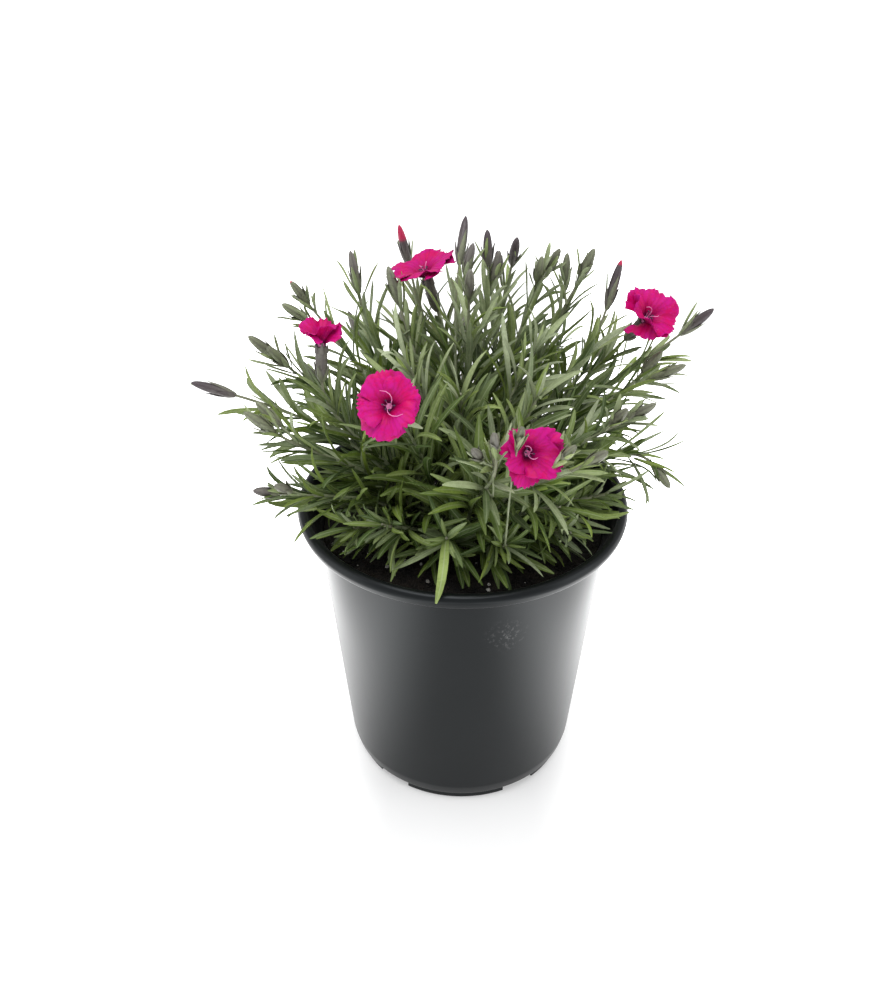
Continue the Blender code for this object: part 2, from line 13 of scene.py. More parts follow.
import bmesh
import bpy
from mathutils import Matrix, Vector, noise
from mathutils.bvhtree import BVHTree


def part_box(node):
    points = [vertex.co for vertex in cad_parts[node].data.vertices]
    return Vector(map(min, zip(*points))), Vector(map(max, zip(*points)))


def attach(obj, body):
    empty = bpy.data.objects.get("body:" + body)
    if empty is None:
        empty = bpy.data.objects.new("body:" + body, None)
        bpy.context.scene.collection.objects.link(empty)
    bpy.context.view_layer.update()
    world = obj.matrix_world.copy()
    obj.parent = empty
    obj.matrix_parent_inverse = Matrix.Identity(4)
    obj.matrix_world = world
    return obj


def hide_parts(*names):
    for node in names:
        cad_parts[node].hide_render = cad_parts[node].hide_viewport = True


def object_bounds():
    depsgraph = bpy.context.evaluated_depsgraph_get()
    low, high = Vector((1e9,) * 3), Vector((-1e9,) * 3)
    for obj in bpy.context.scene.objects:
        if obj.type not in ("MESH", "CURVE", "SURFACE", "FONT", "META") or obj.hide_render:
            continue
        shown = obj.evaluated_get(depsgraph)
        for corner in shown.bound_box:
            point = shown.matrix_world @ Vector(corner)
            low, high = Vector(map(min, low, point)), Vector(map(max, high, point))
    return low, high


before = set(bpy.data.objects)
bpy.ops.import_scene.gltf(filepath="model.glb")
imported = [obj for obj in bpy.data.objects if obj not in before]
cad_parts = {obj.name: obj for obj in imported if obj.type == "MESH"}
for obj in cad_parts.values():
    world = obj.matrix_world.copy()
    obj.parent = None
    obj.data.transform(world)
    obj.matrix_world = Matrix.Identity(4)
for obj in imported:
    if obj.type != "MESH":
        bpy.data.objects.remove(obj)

BOX_AT_LOAD = [list(corner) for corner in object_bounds()]
print("nodes:", len(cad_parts), "box:", BOX_AT_LOAD)


def add_object(name, data):
    """An object of this data in the scene."""
    made = bpy.data.objects.new(name, data)
    bpy.context.scene.collection.objects.link(made)
    return made


# %% [markdown]
# ## Camera
#
# The photograph looks down on the plant at about 34 degrees from a little over half a metre. The
# camera aims at a point just left of the pot's axis, level with the rim.

# %% Camera
CAMERA_AIM = Vector((-0.00954, 0.0, 0.15305))
CAMERA_DISTANCE = 0.6019
CAMERA_PITCH = math.radians(34.26)
LENS_MM = 43.2
SENSOR_MM = 36.0


def make_camera():
    """The camera at the photograph's angle, made the scene's own."""
    lens = bpy.data.cameras.new("camera")
    lens.lens = LENS_MM
    lens.sensor_width = SENSOR_MM
    lens.clip_start = 0.01
    camera = add_object("camera", lens)
    away = Vector((0, -math.cos(CAMERA_PITCH), math.sin(CAMERA_PITCH)))
    camera.location = CAMERA_AIM + away * CAMERA_DISTANCE
    camera.rotation_euler = (math.pi / 2 - CAMERA_PITCH, 0, 0)
    bpy.context.scene.camera = camera
    return camera


camera = make_camera()
print("camera at", [round(value, 3) for value in camera.location])

# %% [markdown]
# ## Floor and light
#
# The plant stands on a plain pale table in a white room. A large soft panel overhead lights the dome,
# and two upright panels stand at the sides. Seen from above, an upright wall mirrors only the table, so
# the table itself glows beside the pot: that gives the dark plastic its broad pale edges. Where the
# camera looks straight at the room, past the table's edge, the room is as white as the table.

# %% Floor and light
FLOOR_RADIUS = 6.0
PANELS = (
    # name, place, aim, size across, size up, power
    ("overhead", (-0.1, -0.25, 1.5), (0, 0, 0.15), 1.1, 1.1, 16.0),
    ("left_side", (-1.25, -0.25, 0.55), (0, 0, 0.12), 0.7, 1.1, 3.0),
    ("right_side", (1.25, -0.35, 0.6), (0, 0, 0.12), 0.7, 1.1, 4.0),
)
ROOM_WHITE = (0.98, 0.99, 1.0)
ROOM_STRENGTH = 0.66
ROOM_SEEN = 1.05
TABLE_WHITE = (0.62, 0.62, 0.62)
TABLE_ROUGHNESS = 0.85
TABLE_GLOW = 3.3
GLOW_RAMPS = (
    # axis of the distance, start, end, glow at the start, glow at the end
    ("X", 0.035, 0.17, 0.1, 1.0),
    ("X", 0.12, 0.22, 1.0, 0.25),
    ("Y", 0.2, 0.8, 0.1, 0.35),
)


def glow_beside(tree, shader):
    """Makes the table glow to the left and the right of the pot, and a little far off."""
    place = tree.nodes.new("ShaderNodeTexCoord")
    parts = tree.nodes.new("ShaderNodeSeparateXYZ")
    tree.links.new(place.outputs["Object"], parts.inputs["Vector"])
    distances = {}
    for axis in "XY":
        distances[axis] = tree.nodes.new("ShaderNodeMath")
        distances[axis].operation = "ABSOLUTE"
        tree.links.new(parts.outputs[axis], distances[axis].inputs[0])
    ramps = []
    for axis, start, end, first, last in GLOW_RAMPS:
        ramp = tree.nodes.new("ShaderNodeMapRange")
        ramp.interpolation_type = "SMOOTHSTEP"
        for name, value in zip(("From Min", "From Max", "To Min", "To Max"), (start, end, first, last)):
            ramp.inputs[name].default_value = value
        tree.links.new(distances[axis].outputs["Value"], ramp.inputs["Value"])
        ramps.append(ramp.outputs["Result"])
    for operation in ("MINIMUM", "MAXIMUM"):
        joint = tree.nodes.new("ShaderNodeMath")
        joint.operation = operation
        tree.links.new(ramps[0], joint.inputs[0])
        tree.links.new(ramps.pop(1), joint.inputs[1])
        ramps[0] = joint.outputs["Value"]
    tree.links.new(ramps[0], shader.inputs["Emission Color"])
    shader.inputs["Emission Strength"].default_value = TABLE_GLOW


def make_floor():
    """A round pale table top, which glows beside the pot."""
    mesh = bpy.data.meshes.new("floor")
    work = bmesh.new()
    bmesh.ops.create_circle(work, cap_ends=True, radius=FLOOR_RADIUS, segments=64)
    work.to_mesh(mesh)
    work.free()
    floor = add_object("floor", mesh)
    paint = bpy.data.materials.new("floor_paint")
    paint.use_nodes = True
    shader = paint.node_tree.nodes["Principled BSDF"]
    shader.inputs["Base Color"].default_value = (*TABLE_WHITE, 1)
    shader.inputs["Roughness"].default_value = TABLE_ROUGHNESS
    glow_beside(paint.node_tree, shader)
    mesh.materials.append(paint)


def make_panels():
    """The soft lights overhead and at the sides."""
    for name, place, aim, across, up, power in PANELS:
        light = bpy.data.lights.new(name, "AREA")
        light.shape = "RECTANGLE"
        light.size = across
        light.size_y = up
        light.energy = power
        lamp = add_object(name, light)
        lamp.location = place
        lamp.rotation_euler = (Vector(aim) - Vector(place)).to_track_quat("-Z", "Y").to_euler()


def make_room():
    """A white room, lighter where the camera looks straight at it."""
    room = bpy.data.worlds.new("room")
    room.use_nodes = True
    backdrop = room.node_tree.nodes["Background"]
    backdrop.inputs["Color"].default_value = (*ROOM_WHITE, 1)
    seen = room.node_tree.nodes.new("ShaderNodeLightPath")
    strength = room.node_tree.nodes.new("ShaderNodeMapRange")
    strength.inputs["To Min"].default_value = ROOM_STRENGTH
    strength.inputs["To Max"].default_value = ROOM_SEEN
    room.node_tree.links.new(seen.outputs["Is Camera Ray"], strength.inputs["Value"])
    room.node_tree.links.new(strength.outputs["Result"], backdrop.inputs["Strength"])
    bpy.context.scene.world = room
    bpy.context.scene.view_settings.view_transform = "Standard"


make_floor()
make_panels()
make_room()
print("floor, panels and room made")

# %% [markdown]
# ## Sizes of the real thing
#
# These are the same values as in the part's source, in metres. A trade nursery pot of this kind is
# about 165 mm across its rim, and the stems, leaves and blooms were sized against it.

# %% Pot and soil sizes
# Pot
POT_HEIGHT = 0.156
RIM_RADIUS = 0.0825
LIP_HEIGHT = 0.0065
LIP_WIDTH = 0.005
NECK_RADIUS = 0.073
NECK_Z = 0.144
BASE_RADIUS = 0.0606
BASE_Z = 0.011
WALL = 0.0016
FOOT_HEIGHT = 0.005
FOOT_RADIUS = 0.0571
FOOT_WIDTH = 0.0028
FOOT_GAPS = 5
FOOT_GAP_WIDTH = 0.019
FOOT_GAP_START = -57.5
DRAIN_RADIUS = 0.0045
DRAIN_CIRCLE = 0.046
POT_SEGMENTS = 32

# Soil
SOIL_TOP = 0.138
SOIL_EDGE_DROP = 0.002
CLEARANCE = 0.0003
CROWN = Vector((0.0, 0.0, SOIL_TOP))

# %% Plant sizes
# Stems
STEM_RADIUS = 0.0013
STEM_TIP_RADIUS = 0.0009
STEM_SIDES = 4
STEM_STEPS = 4
ROOT_DEPTH = 0.012
CROWN_RADIUS = 0.033
CROWN_SPACING = 0.0072
WIDEST_LEAN = 72.0

# Leaves
LEAF_STEPS = 3
SHORT_LEAF = 0.030
SHORT_LEAF_STEPS = 2
LEAF_WIDTH = 0.0036
LEAF_KEEL = 0.0011
LEAF_ROOT_SHARE = 0.22
LEAF_ROOT_OFFSET = 0.0003
LEAF_GAP = 0.0004
NODE_TURN = 90.0
LOW_SHOOT_LEAN = 50.0

# Flowers
CALYX_LENGTH = 0.017
CALYX_RADIUS = 0.0029
SOCKET_DEPTH = 0.006
SOCKET_RADIUS = 0.0021
PETALS = 5
PETAL_TEETH = 3
PETAL_THICKNESS = 0.0007
PETAL_LIFT = 0.17
PETAL_ROOT = 0.0011
PETAL_TOOTH = 0.0012
PETAL_ROUNDING = 0.16
BUD_SIDES = 5

# %% Places of the heads
# Heads are placed by bearing: degrees round from +X, degrees down from upright, metres from the crown
# to the head's foot, then the same two angles for the way the head points.
BLOOMS = (
    # azimuth, lean, reach, head azimuth, head tilt, petal length, petal opening
    (104, 29, 0.109, 170, 17, 0.0160, 84),
    (-173, 37, 0.110, 71, 6, 0.0120, 50),
    (-124, 31, 0.110, -92, 56, 0.0160, 86),
    (-71, 39, 0.107, -80, 60, 0.0155, 76),
    (20, 43, 0.124, -54, 38, 0.0155, 82),
)
BUD_STEMS = (
    # azimuth, lean, reach, head azimuth, head tilt, bud length, side bud length or 0
    (109, 38, 0.136, 151, 15, 0.021, 0),
    (92, 22, 0.131, 78, 40, 0.023, 0.015),
    (76, 23, 0.130, 100, 14, 0.017, 0.015),
    (83, 10, 0.118, -83, 8, 0.015, 0),
    (70, 33, 0.134, -51, 12, 0.015, 0.012),
    (49, 28, 0.134, -44, 28, 0.014, 0.015),
    (38, 32, 0.137, -28, 21, 0.016, 0.013),
    (21, 34, 0.131, 29, 15, 0.023, 0),
    (22, 54, 0.146, -14, 43, 0.020, 0),
    (4, 48, 0.121, -24, 56, 0.018, 0.013),
    (-28, 44, 0.117, -30, 47, 0.017, 0.016),
    (-14, 62, 0.105, -62, 112, 0.013, 0),
    (-172, 52, 0.136, -165, 64, 0.020, 0),
    (171, 46, 0.126, -160, 42, 0.018, 0.016),
    (157, 37, 0.136, -167, 32, 0.013, 0.014),
    (136, 34, 0.128, 135, 14, 0.020, 0),
    (128, 26, 0.116, 132, 25, 0.018, 0),
    (-159, 51, 0.119, -164, 45, 0.017, 0.015),
    (-150, 62, 0.110, -148, 64, 0.013, 0.012),
    (-83, 42, 0.137, -110, 16, 0.009, 0.009),
    (-58, 47, 0.128, -28, 46, 0.012, 0),
)
LEAFY_STEMS = (
    # azimuth, lean, reach, head azimuth, head tilt
    (-98, 60, 0.068, -95, 40),
    (-72, 64, 0.068, -55, 52),
    (-126, 60, 0.074, -140, 50),
    (-46, 56, 0.076, -42, 58),
    (-24, 62, 0.084, -16, 62),
    (-158, 68, 0.082, -160, 78),
    (-141, 67, 0.072, -146, 60),
    (-40, 69, 0.070, -36, 62),
    (-96, 12, 0.088, -100, 20),
    (-4, 18, 0.104, -20, 24),
    (-160, 16, 0.100, -160, 24),
)
FILL_STEMS = 8
FILL_CANDIDATES = 240
FILL_LEANS = (8, 57)
FILL_REACH = (0.098, 0.119)
SEED = 27

# %% [markdown]
# ## Simple test shapes
#
# The plant has to grow exactly as the solids did, so that every finer leaf lies where a solid leaf
# is. The rule tests each new leaf against the shapes placed before it, and those test shapes are the
# plain ones of the solids: bars with few sides, cups, three-edged blades and flat petals.

# %% Directions and curves
# Directions off every axis. An organ's side is taken from one of them, so that it is never undefined.
BAR_HINT = Vector((0.31, 0.95, 0.05))
LEAF_HINT = Vector((0.12, 0.99, 0.05))
BUD_HINT = Vector((0.21, 0.3, 0.93))
PETAL_HINT = Vector((0.17, 0.2, 0.96))
SWEEP_HINT = Vector((0.3, 0.95, 0.1))


def direction(azimuth, lean):
    """The unit vector that leans by these degrees from upright towards this azimuth."""
    turn, tilt = math.radians(azimuth), math.radians(lean)
    return Vector((math.sin(tilt) * math.cos(turn), math.sin(tilt) * math.sin(turn), math.cos(tilt)))


def side_of(way, hint):
    """A direction across a way."""
    return way.cross(hint).normalized()


def turn_about(way, side, degrees):
    """A side direction turned about a way."""
    return (Matrix.Rotation(math.radians(degrees), 3, way) @ side).normalized()


def opened(way, out, angle):
    """The direction that opens from way towards out by this angle, and its upper side."""
    ahead = way * math.cos(angle) + out * math.sin(angle)
    return ahead, way * math.sin(angle) - out * math.cos(angle)


def bezier(start, leave, arrive, end, steps):
    """Points of a cubic curve from start to end."""
    points = []
    for index in range(steps + 1):
        t = index / steps
        s = 1.0 - t
        points.append(start * s**3 + leave * (3 * s * s * t) + arrive * (3 * s * t * t) + end * t**3)
    return points


def side_frames(points, hint):
    """Tangent, side and up at each point, with the side carried along the path."""
    frames = []
    side = None
    for index in range(len(points)):
        before = points[max(index - 1, 0)]
        after = points[min(index + 1, len(points) - 1)]
        tangent = (after - before).normalized()
        side = tangent.cross(hint) if side is None else side - tangent * side.dot(tangent)
        side.normalize()
        frames.append((tangent, side, side.cross(tangent)))
    return frames


print("a stem leaning 30 degrees forwards points", direction(-90, 30))

# %% Bars and cups
def ring_corners(point, side, up, radius, sides):
    """The corners of one round section about a point."""
    turns = [2 * math.pi * index / sides for index in range(sides)]
    return [point + side * (radius * math.cos(turn)) + up * (radius * math.sin(turn)) for turn in turns]


def faces_between(rings, sides):
    """The faces that join each ring of corners to the next."""
    faces = []
    for ring in range(rings - 1):
        for index in range(sides):
            a = ring * sides + index
            b = ring * sides + (index + 1) % sides
            faces.append((a, b, b + sides, a + sides))
    return faces


def tube(points, radii, sides):
    """A closed round bar along a path: vertices and faces. A last radius of 0 ends it in a point."""
    verts = []
    rings = len(points) if radii[-1] > 0 else len(points) - 1
    for point, radius, (_, side, up) in zip(points[:rings], radii, side_frames(points, BAR_HINT)):
        verts += ring_corners(point, side, up, radius, sides)
    faces = faces_between(rings, sides)
    faces.append(tuple(reversed(range(sides))))
    last = (rings - 1) * sides
    if rings < len(points):
        verts.append(points[-1])
        faces += [(last + i, last + (i + 1) % sides, len(verts) - 1) for i in range(sides)]
    else:
        faces.append(tuple(last + i for i in range(sides)))
    return verts, faces


def cup(foot, axis, outer, inner, sides):
    """A closed cup turned about an axis: outer and inner are (distance along, radius) from foot to mouth."""
    profile = outer + list(reversed(inner))
    side = side_of(axis, BAR_HINT)
    up = side.cross(axis)
    verts = []
    for along, radius in profile:
        verts += ring_corners(foot + axis * along, side, up, radius, sides)
    faces = faces_between(len(profile), sides)
    faces.append(tuple(reversed(range(sides))))
    last = (len(profile) - 1) * sides
    faces.append(tuple(last + i for i in range(sides)))
    return verts, faces


short_bar = tube([Vector((0, 0, 0)), Vector((0, 0, 1))], [0.1, 0.1], 4)
print("a four-sided bar has", len(short_bar[0]), "corners")

# %% Blades and turned solids
def blade(points, normals, width, keel, gap=0.0):
    """A closed narrow leaf: two edges with a keel below them, ending in a point. A gap makes it thicker."""
    shares = (LEAF_ROOT_SHARE, 1.0, 0.82)[: len(points) - 1]
    verts = []
    for index in range(len(points) - 1):
        tangent = (points[index + 1] - points[max(index - 1, 0)]).normalized()
        up = (normals[index] - tangent * normals[index].dot(tangent)).normalized()
        side = tangent.cross(up)
        half = width * shares[index] / 2 + gap
        centre = points[index] + up * gap
        deep = (keel if index else keel * 0.6) + 2 * gap
        verts += [centre + side * half, centre - side * half, centre - up * deep]
    verts.append(points[-1])
    faces = faces_between(len(points) - 1, 3)
    last = (len(points) - 2) * 3
    faces += [(last + i, last + (i + 1) % 3, len(verts) - 1) for i in range(3)]
    faces.append((2, 1, 0))
    return verts, faces


def lathe(profile, segments):
    """A closed solid turned about Z from (radius, height) points that start and end on the axis."""
    verts, faces = [Vector((0, 0, profile[0][1]))], []
    for radius, height in profile[1:-1]:
        for index in range(segments):
            turn = 2 * math.pi * index / segments
            verts.append(Vector((radius * math.cos(turn), radius * math.sin(turn), height)))
    verts.append(Vector((0, 0, profile[-1][1])))
    rings = len(profile) - 2
    for index in range(segments):
        after = (index + 1) % segments
        faces.append((0, 1 + after, 1 + index))
        for ring in range(rings - 1):
            a = 1 + ring * segments
            faces.append((a + index, a + after, a + segments + after, a + segments + index))
        last = 1 + (rings - 1) * segments
        faces.append((last + index, last + after, len(verts) - 1))
    return verts, faces


print("a blade of three steps ends in a point")

# %% Pot and soil outlines
def pot_profile():
    """The pot's outline from the middle of its underside, round the rim, to the middle of its floor."""
    floor = FOOT_HEIGHT + WALL
    foot_inside = FOOT_RADIUS - FOOT_WIDTH
    return (
        (0, FOOT_HEIGHT),
        (foot_inside, FOOT_HEIGHT),
        (foot_inside, 0),
        (FOOT_RADIUS, 0),
        (FOOT_RADIUS, FOOT_HEIGHT - 0.0006),
        (BASE_RADIUS - 0.0015, FOOT_HEIGHT),
        (BASE_RADIUS, BASE_Z),
        (NECK_RADIUS, NECK_Z),
        (RIM_RADIUS - 0.0062, POT_HEIGHT - LIP_HEIGHT - 0.001),
        (RIM_RADIUS - 0.0008, POT_HEIGHT - LIP_HEIGHT),
        (RIM_RADIUS, POT_HEIGHT - 0.003),
        (RIM_RADIUS - 0.001, POT_HEIGHT - 0.0008),
        (RIM_RADIUS - LIP_WIDTH / 2, POT_HEIGHT),
        (RIM_RADIUS - LIP_WIDTH, POT_HEIGHT - 0.0006),
        (RIM_RADIUS - 0.0076, POT_HEIGHT - LIP_HEIGHT),
        (NECK_RADIUS - WALL, NECK_Z - 0.0006),
        (BASE_RADIUS - WALL, BASE_Z),
        (BASE_RADIUS - WALL - 0.003, floor),
        (0, floor),
    )


def soil_profile():
    """The soil's outline, a clearance inside the pot."""
    floor = FOOT_HEIGHT + WALL + CLEARANCE
    inside = BASE_RADIUS - WALL - CLEARANCE
    share = (SOIL_TOP - SOIL_EDGE_DROP - BASE_Z) / (NECK_Z - BASE_Z)
    edge = inside + (NECK_RADIUS - BASE_RADIUS) * share
    return (
        (0, floor),
        (inside - 0.0032, floor),
        (inside, BASE_Z),
        (edge, SOIL_TOP - SOIL_EDGE_DROP),
        (CROWN_RADIUS + 0.004, SOIL_TOP),
        (0, SOIL_TOP),
    )


print("the pot's outline has", len(pot_profile()), "points")

# %% Keeping clear of neighbours
class Neighbours:
    """The shapes placed so far, to keep each new one clear of those of other pieces."""

    def __init__(self):
        self.items = []

    def add(self, owner, shape):
        """Places a shape of this owner."""
        verts, faces = shape
        low = [min(v[axis] for v in verts) for axis in range(3)]
        high = [max(v[axis] for v in verts) for axis in range(3)]
        self.items.append((owner, low, high, BVHTree.FromPolygons(verts, faces)))

    def blocked(self, owner, shape):
        """Whether this shape meets a placed one of another owner."""
        verts, faces = shape
        low = [min(v[axis] for v in verts) for axis in range(3)]
        high = [max(v[axis] for v in verts) for axis in range(3)]
        tree = None
        for other, other_low, other_high, other_tree in self.items:
            if other == owner:
                continue
            if any(low[a] > other_high[a] or high[a] < other_low[a] for a in range(3)):
                continue
            tree = tree or BVHTree.FromPolygons(verts, faces)
            if tree.overlap(other_tree):
                return True
        return False


print("each new shape is tested against those of other stems")

# %% [markdown]
# ## The growth rule
#
# Every stem leaves the soil upright from its own hole and bends over to its head. Heads that the
# photograph shows are placed by bearing, and the other stems fill the widest gaps left on the dome,
# as on a plant that grows evenly to all sides. Leaves stand in opposite pairs, each pair turned a
# quarter from the last.

# %% A stem
class Stem:
    """One stem with its heads and leaves, as closed shapes that will be fused."""

    def __init__(self, name, azimuth, lean, reach, head_azimuth, head_tilt):
        self.name = name
        self.azimuth = azimuth
        self.lean = lean
        self.head = CROWN + direction(azimuth, lean) * reach
        self.head_way = direction(head_azimuth, head_tilt)
        self.foot = self.head.xy * (CROWN_RADIUS / (reach * math.sin(math.radians(WIDEST_LEAN))))
        self.buds = ()
        self.petals = None
        self.path = []
        self.leaves = []
        self.side = None
        self.controls = ()
        self.petal_turns = []

    def grow(self, bow):
        """Sets the stem's path: upright out of the soil, then over to the head, bowed aside by bow."""
        out = Vector((self.foot.x, self.foot.y, SOIL_TOP + 0.002))
        span = (self.head - out).length
        leave = out + Vector((0, 0, 0.38 * span)) + bow
        arrive = self.head - self.head_way * (0.3 * span) + bow * 0.5
        below = Vector((self.foot.x, self.foot.y, SOIL_TOP - ROOT_DEPTH))
        self.path = [below] + bezier(out, leave, arrive, self.head, STEM_STEPS)
        self.controls = (out, leave, arrive, self.head)

    def bar(self, gap=0.0):
        """The stem's closed shape, thicker all round by gap."""
        count = len(self.path) - 1
        radii = [
            gap + STEM_RADIUS + (STEM_TIP_RADIUS - STEM_RADIUS) * index / count for index in range(count + 1)
        ]
        return tube(self.path, radii, STEM_SIDES)

    def at(self, share):
        """The point and the direction of the stem at this share of its way above the soil."""
        place = 1 + share * (len(self.path) - 2)
        index = min(int(place), len(self.path) - 2)
        ahead = self.path[index + 1] - self.path[index]
        return self.path[index] + ahead * (place - index), ahead.normalized()


print("stems are up to", 2000 * STEM_RADIUS, "mm thick")

# %% Bud, branch and calyx tests
def bud_shape(foot, way, length, gap=0.0):
    """A closed spindle bud."""
    shares = (-0.06, 0.22, 0.66)
    radii = (0.0009, 0.0025, 0.0024)
    points = [foot + way * (length * share) for share in shares] + [foot + way * (length + gap)]
    return tube(points, [radius + gap for radius in radii] + [0], BUD_SIDES)


def side_bud(stem, length, turn):
    """A short branch below the head with its bud: the branch, the bud and the thickened bud."""
    point, ahead = stem.at(0.86)
    across = ahead.cross(Vector((0, 0, 1))).normalized()
    out = turn_about(ahead, across, turn)
    bend = point + (ahead * 0.75 + out * 0.66) * 0.006
    way = (ahead * 0.9 + out * 0.42 + Vector((0, 0, 0.15))).normalized()
    foot = bend + way * 0.006
    branch = tube([point, bend, foot + way * 0.001], [0.0008, 0.0008, 0.0008], 4)
    stem.side = ([point, bend, foot], foot, way)
    return branch, bud_shape(foot, way, length), bud_shape(foot, way, length, CLEARANCE)


def calyx_shape(foot, way):
    """The green tube below a bloom, with a socket for the corolla."""
    outer = [(-0.001, 0.001), (0.003, 0.0024), (0.010, CALYX_RADIUS)]
    outer.append((CALYX_LENGTH, CALYX_RADIUS - 0.0001))
    inner = [(CALYX_LENGTH - SOCKET_DEPTH, SOCKET_RADIUS), (CALYX_LENGTH, SOCKET_RADIUS)]
    return cup(foot, way, outer, inner, 6)


print("calyx", 1000 * CALYX_LENGTH, "mm long")

# %% Petal tests
# A petal rises on its claw at this share of its opening, then bends out into its fan. The lengths of
# claw and fan and the fan's half width are shares of the petal's length.
CLAW_OPENING = 0.45
CLAW_SHARE = 0.42
FAN_SHARE = 0.58
FAN_HALF = 0.68

# How far above the calyx the petals part
THROAT_RISE = 0.0008


def petal_shape(centre, way, turn, length, opening):
    """One closed toothed petal that leaves the flower's axis and opens to this angle from it."""
    out = turn_about(way, side_of(way, PETAL_HINT), turn)
    across = way.cross(out)
    start, end = math.radians(opening * CLAW_OPENING), math.radians(opening)
    root = centre + out * PETAL_ROOT
    middle = root + opened(way, out, start)[0] * (length * CLAW_SHARE)
    edge = middle + opened(way, out, end)[0] * (length * FAN_SHARE)
    rows = (
        # point, half width, angle from the axis, number of parts across, dip between teeth
        (root, PETAL_ROOT / 2, start, 1, 0),
        (middle, 0.30 * length, (start + end) / 2, PETAL_TEETH, 0),
        (edge, FAN_HALF * length, end, 2 * PETAL_TEETH, PETAL_TOOTH),
    )
    top, bottom = [], []
    for point, half, angle, columns, dip in rows:
        ahead, normal = opened(way, out, angle)
        for column in range(columns + 1):
            share = 2 * column / columns - 1
            back = PETAL_ROUNDING * (half / FAN_HALF) * share * share + (0 if column % 2 else dip)
            place = point + across * (half * share) - ahead * back + normal * (PETAL_LIFT * half * share)
            top.append(place + normal * (PETAL_THICKNESS / 2))
            bottom.append(place - normal * (PETAL_THICKNESS / 2))
    return thick_sheet(top, bottom, petal_triangles(), petal_border())


def petal_triangles():
    """One face of a petal: two points at the root, one for each tooth's foot, then every tooth's tip."""
    middle, edge = 2, 3 + PETAL_TEETH
    half = (PETAL_TEETH + 1) // 2
    faces = [(0, middle + i, middle + i + 1) for i in range(half - 1)]
    faces.append((0, middle + half - 1, 1))
    faces += [(1, middle + i, middle + i + 1) for i in range(half - 1, PETAL_TEETH)]
    for tooth in range(PETAL_TEETH):
        foot, tip = middle + tooth, edge + 2 * tooth + 1
        faces += [(foot, tip, foot + 1), (foot, tip - 1, tip), (foot + 1, tip, tip + 1)]
    return faces


def petal_border():
    """The rim of a petal's face in order."""
    middle, edge = 2, 3 + PETAL_TEETH
    far = edge + 2 * PETAL_TEETH
    return [1, 0, middle] + list(range(edge, far + 1)) + [middle + PETAL_TEETH]


def thick_sheet(top, bottom, triangles, border):
    """A closed sheet from its two faces, which are split alike, and the rim between them."""
    below = len(top)
    faces = list(triangles)
    faces += [tuple(below + i for i in reversed(tri)) for tri in triangles]
    for a, b in zip(border, border[1:] + border[:1]):
        faces.append((a, below + a, below + b))
        faces.append((a, below + b, b))
    return top + bottom, faces


def corolla_shapes(stem, draw):
    """The closed petals of a bloom and the tube that stands in the calyx."""
    length, opening = stem.petals
    top = stem.head + stem.head_way * CALYX_LENGTH
    seat = top - stem.head_way * (SOCKET_DEPTH - CLEARANCE)
    centre = top + stem.head_way * THROAT_RISE
    collar = [seat, top + stem.head_way * 0.0006, centre + stem.head_way * 0.0014]
    shapes = [tube(collar, [SOCKET_RADIUS - 0.0005, SOCKET_RADIUS - 0.0005, 0.0019], 5)]
    start = draw.uniform(0, 72)
    for index in range(PETALS):
        turn = start + index * 360 / PETALS + draw.uniform(-4, 4)
        leaned = opening + draw.uniform(-3, 3)
        stem.petal_turns.append((turn, leaned))
        shapes.append(petal_shape(centre, stem.head_way, turn, length, leaned))
    return shapes


print("petals in each bloom:", PETALS)

# %% Leaf tests
def leaf_shape(root, ahead, out, length, spread, bend, gap=0.0):
    """A leaf that leaves a stem at this spread from its direction and bends on outwards."""
    points, normals = [root + out * LEAF_ROOT_OFFSET], []
    angle = math.radians(spread)
    steps = LEAF_STEPS if length > SHORT_LEAF else SHORT_LEAF_STEPS
    for _ in range(steps):
        way, normal = opened(ahead, out, angle)
        normals.append(normal)
        points.append(points[-1] + way * (length / steps))
        angle += math.radians(bend) / steps
    width = LEAF_WIDTH * min(1.0, 0.55 + length / 0.09)
    return blade(points, normals, width, LEAF_KEEL, gap)


print("leaves", 1000 * LEAF_WIDTH, "mm wide")

# %% Feet and bearings
def spread_feet(stems):
    """Moves the stems' feet apart until none is closer than the spacing, nor far from the crown."""
    for _ in range(200):
        for index, one in enumerate(stems):
            for other in stems[index + 1 :]:
                apart = other.foot - one.foot
                if apart.length < CROWN_SPACING:
                    push = apart.normalized() * ((CROWN_SPACING - apart.length) / 2)
                    one.foot = one.foot - push
                    other.foot = other.foot + push
        for one in stems:
            if one.foot.length > CROWN_RADIUS:
                one.foot = one.foot.normalized() * CROWN_RADIUS


def fill_bearings(placed, draw):
    """Bearings for the other stems, each as far as can be from all the stems placed before it."""
    golden = 180 * (3 - math.sqrt(5))
    choices = []
    for index in range(FILL_CANDIDATES):
        spread = math.sqrt((index + 0.5) / FILL_CANDIDATES)
        lean = FILL_LEANS[0] + (FILL_LEANS[1] - FILL_LEANS[0]) * spread
        azimuth = (index * golden) % 360 - 180
        if not (-150 < azimuth < -30 and lean > 34):
            choices.append((azimuth, lean))
    ways = [direction(stem.azimuth, stem.lean) for stem in placed]
    found = []
    for _ in range(FILL_STEMS):
        azimuth, lean = min(choices, key=lambda pick: max(direction(*pick).dot(way) for way in ways))
        ways.append(direction(azimuth, lean))
        found.append((azimuth + draw.uniform(-3, 3), lean, draw.uniform(*FILL_REACH)))
    return found


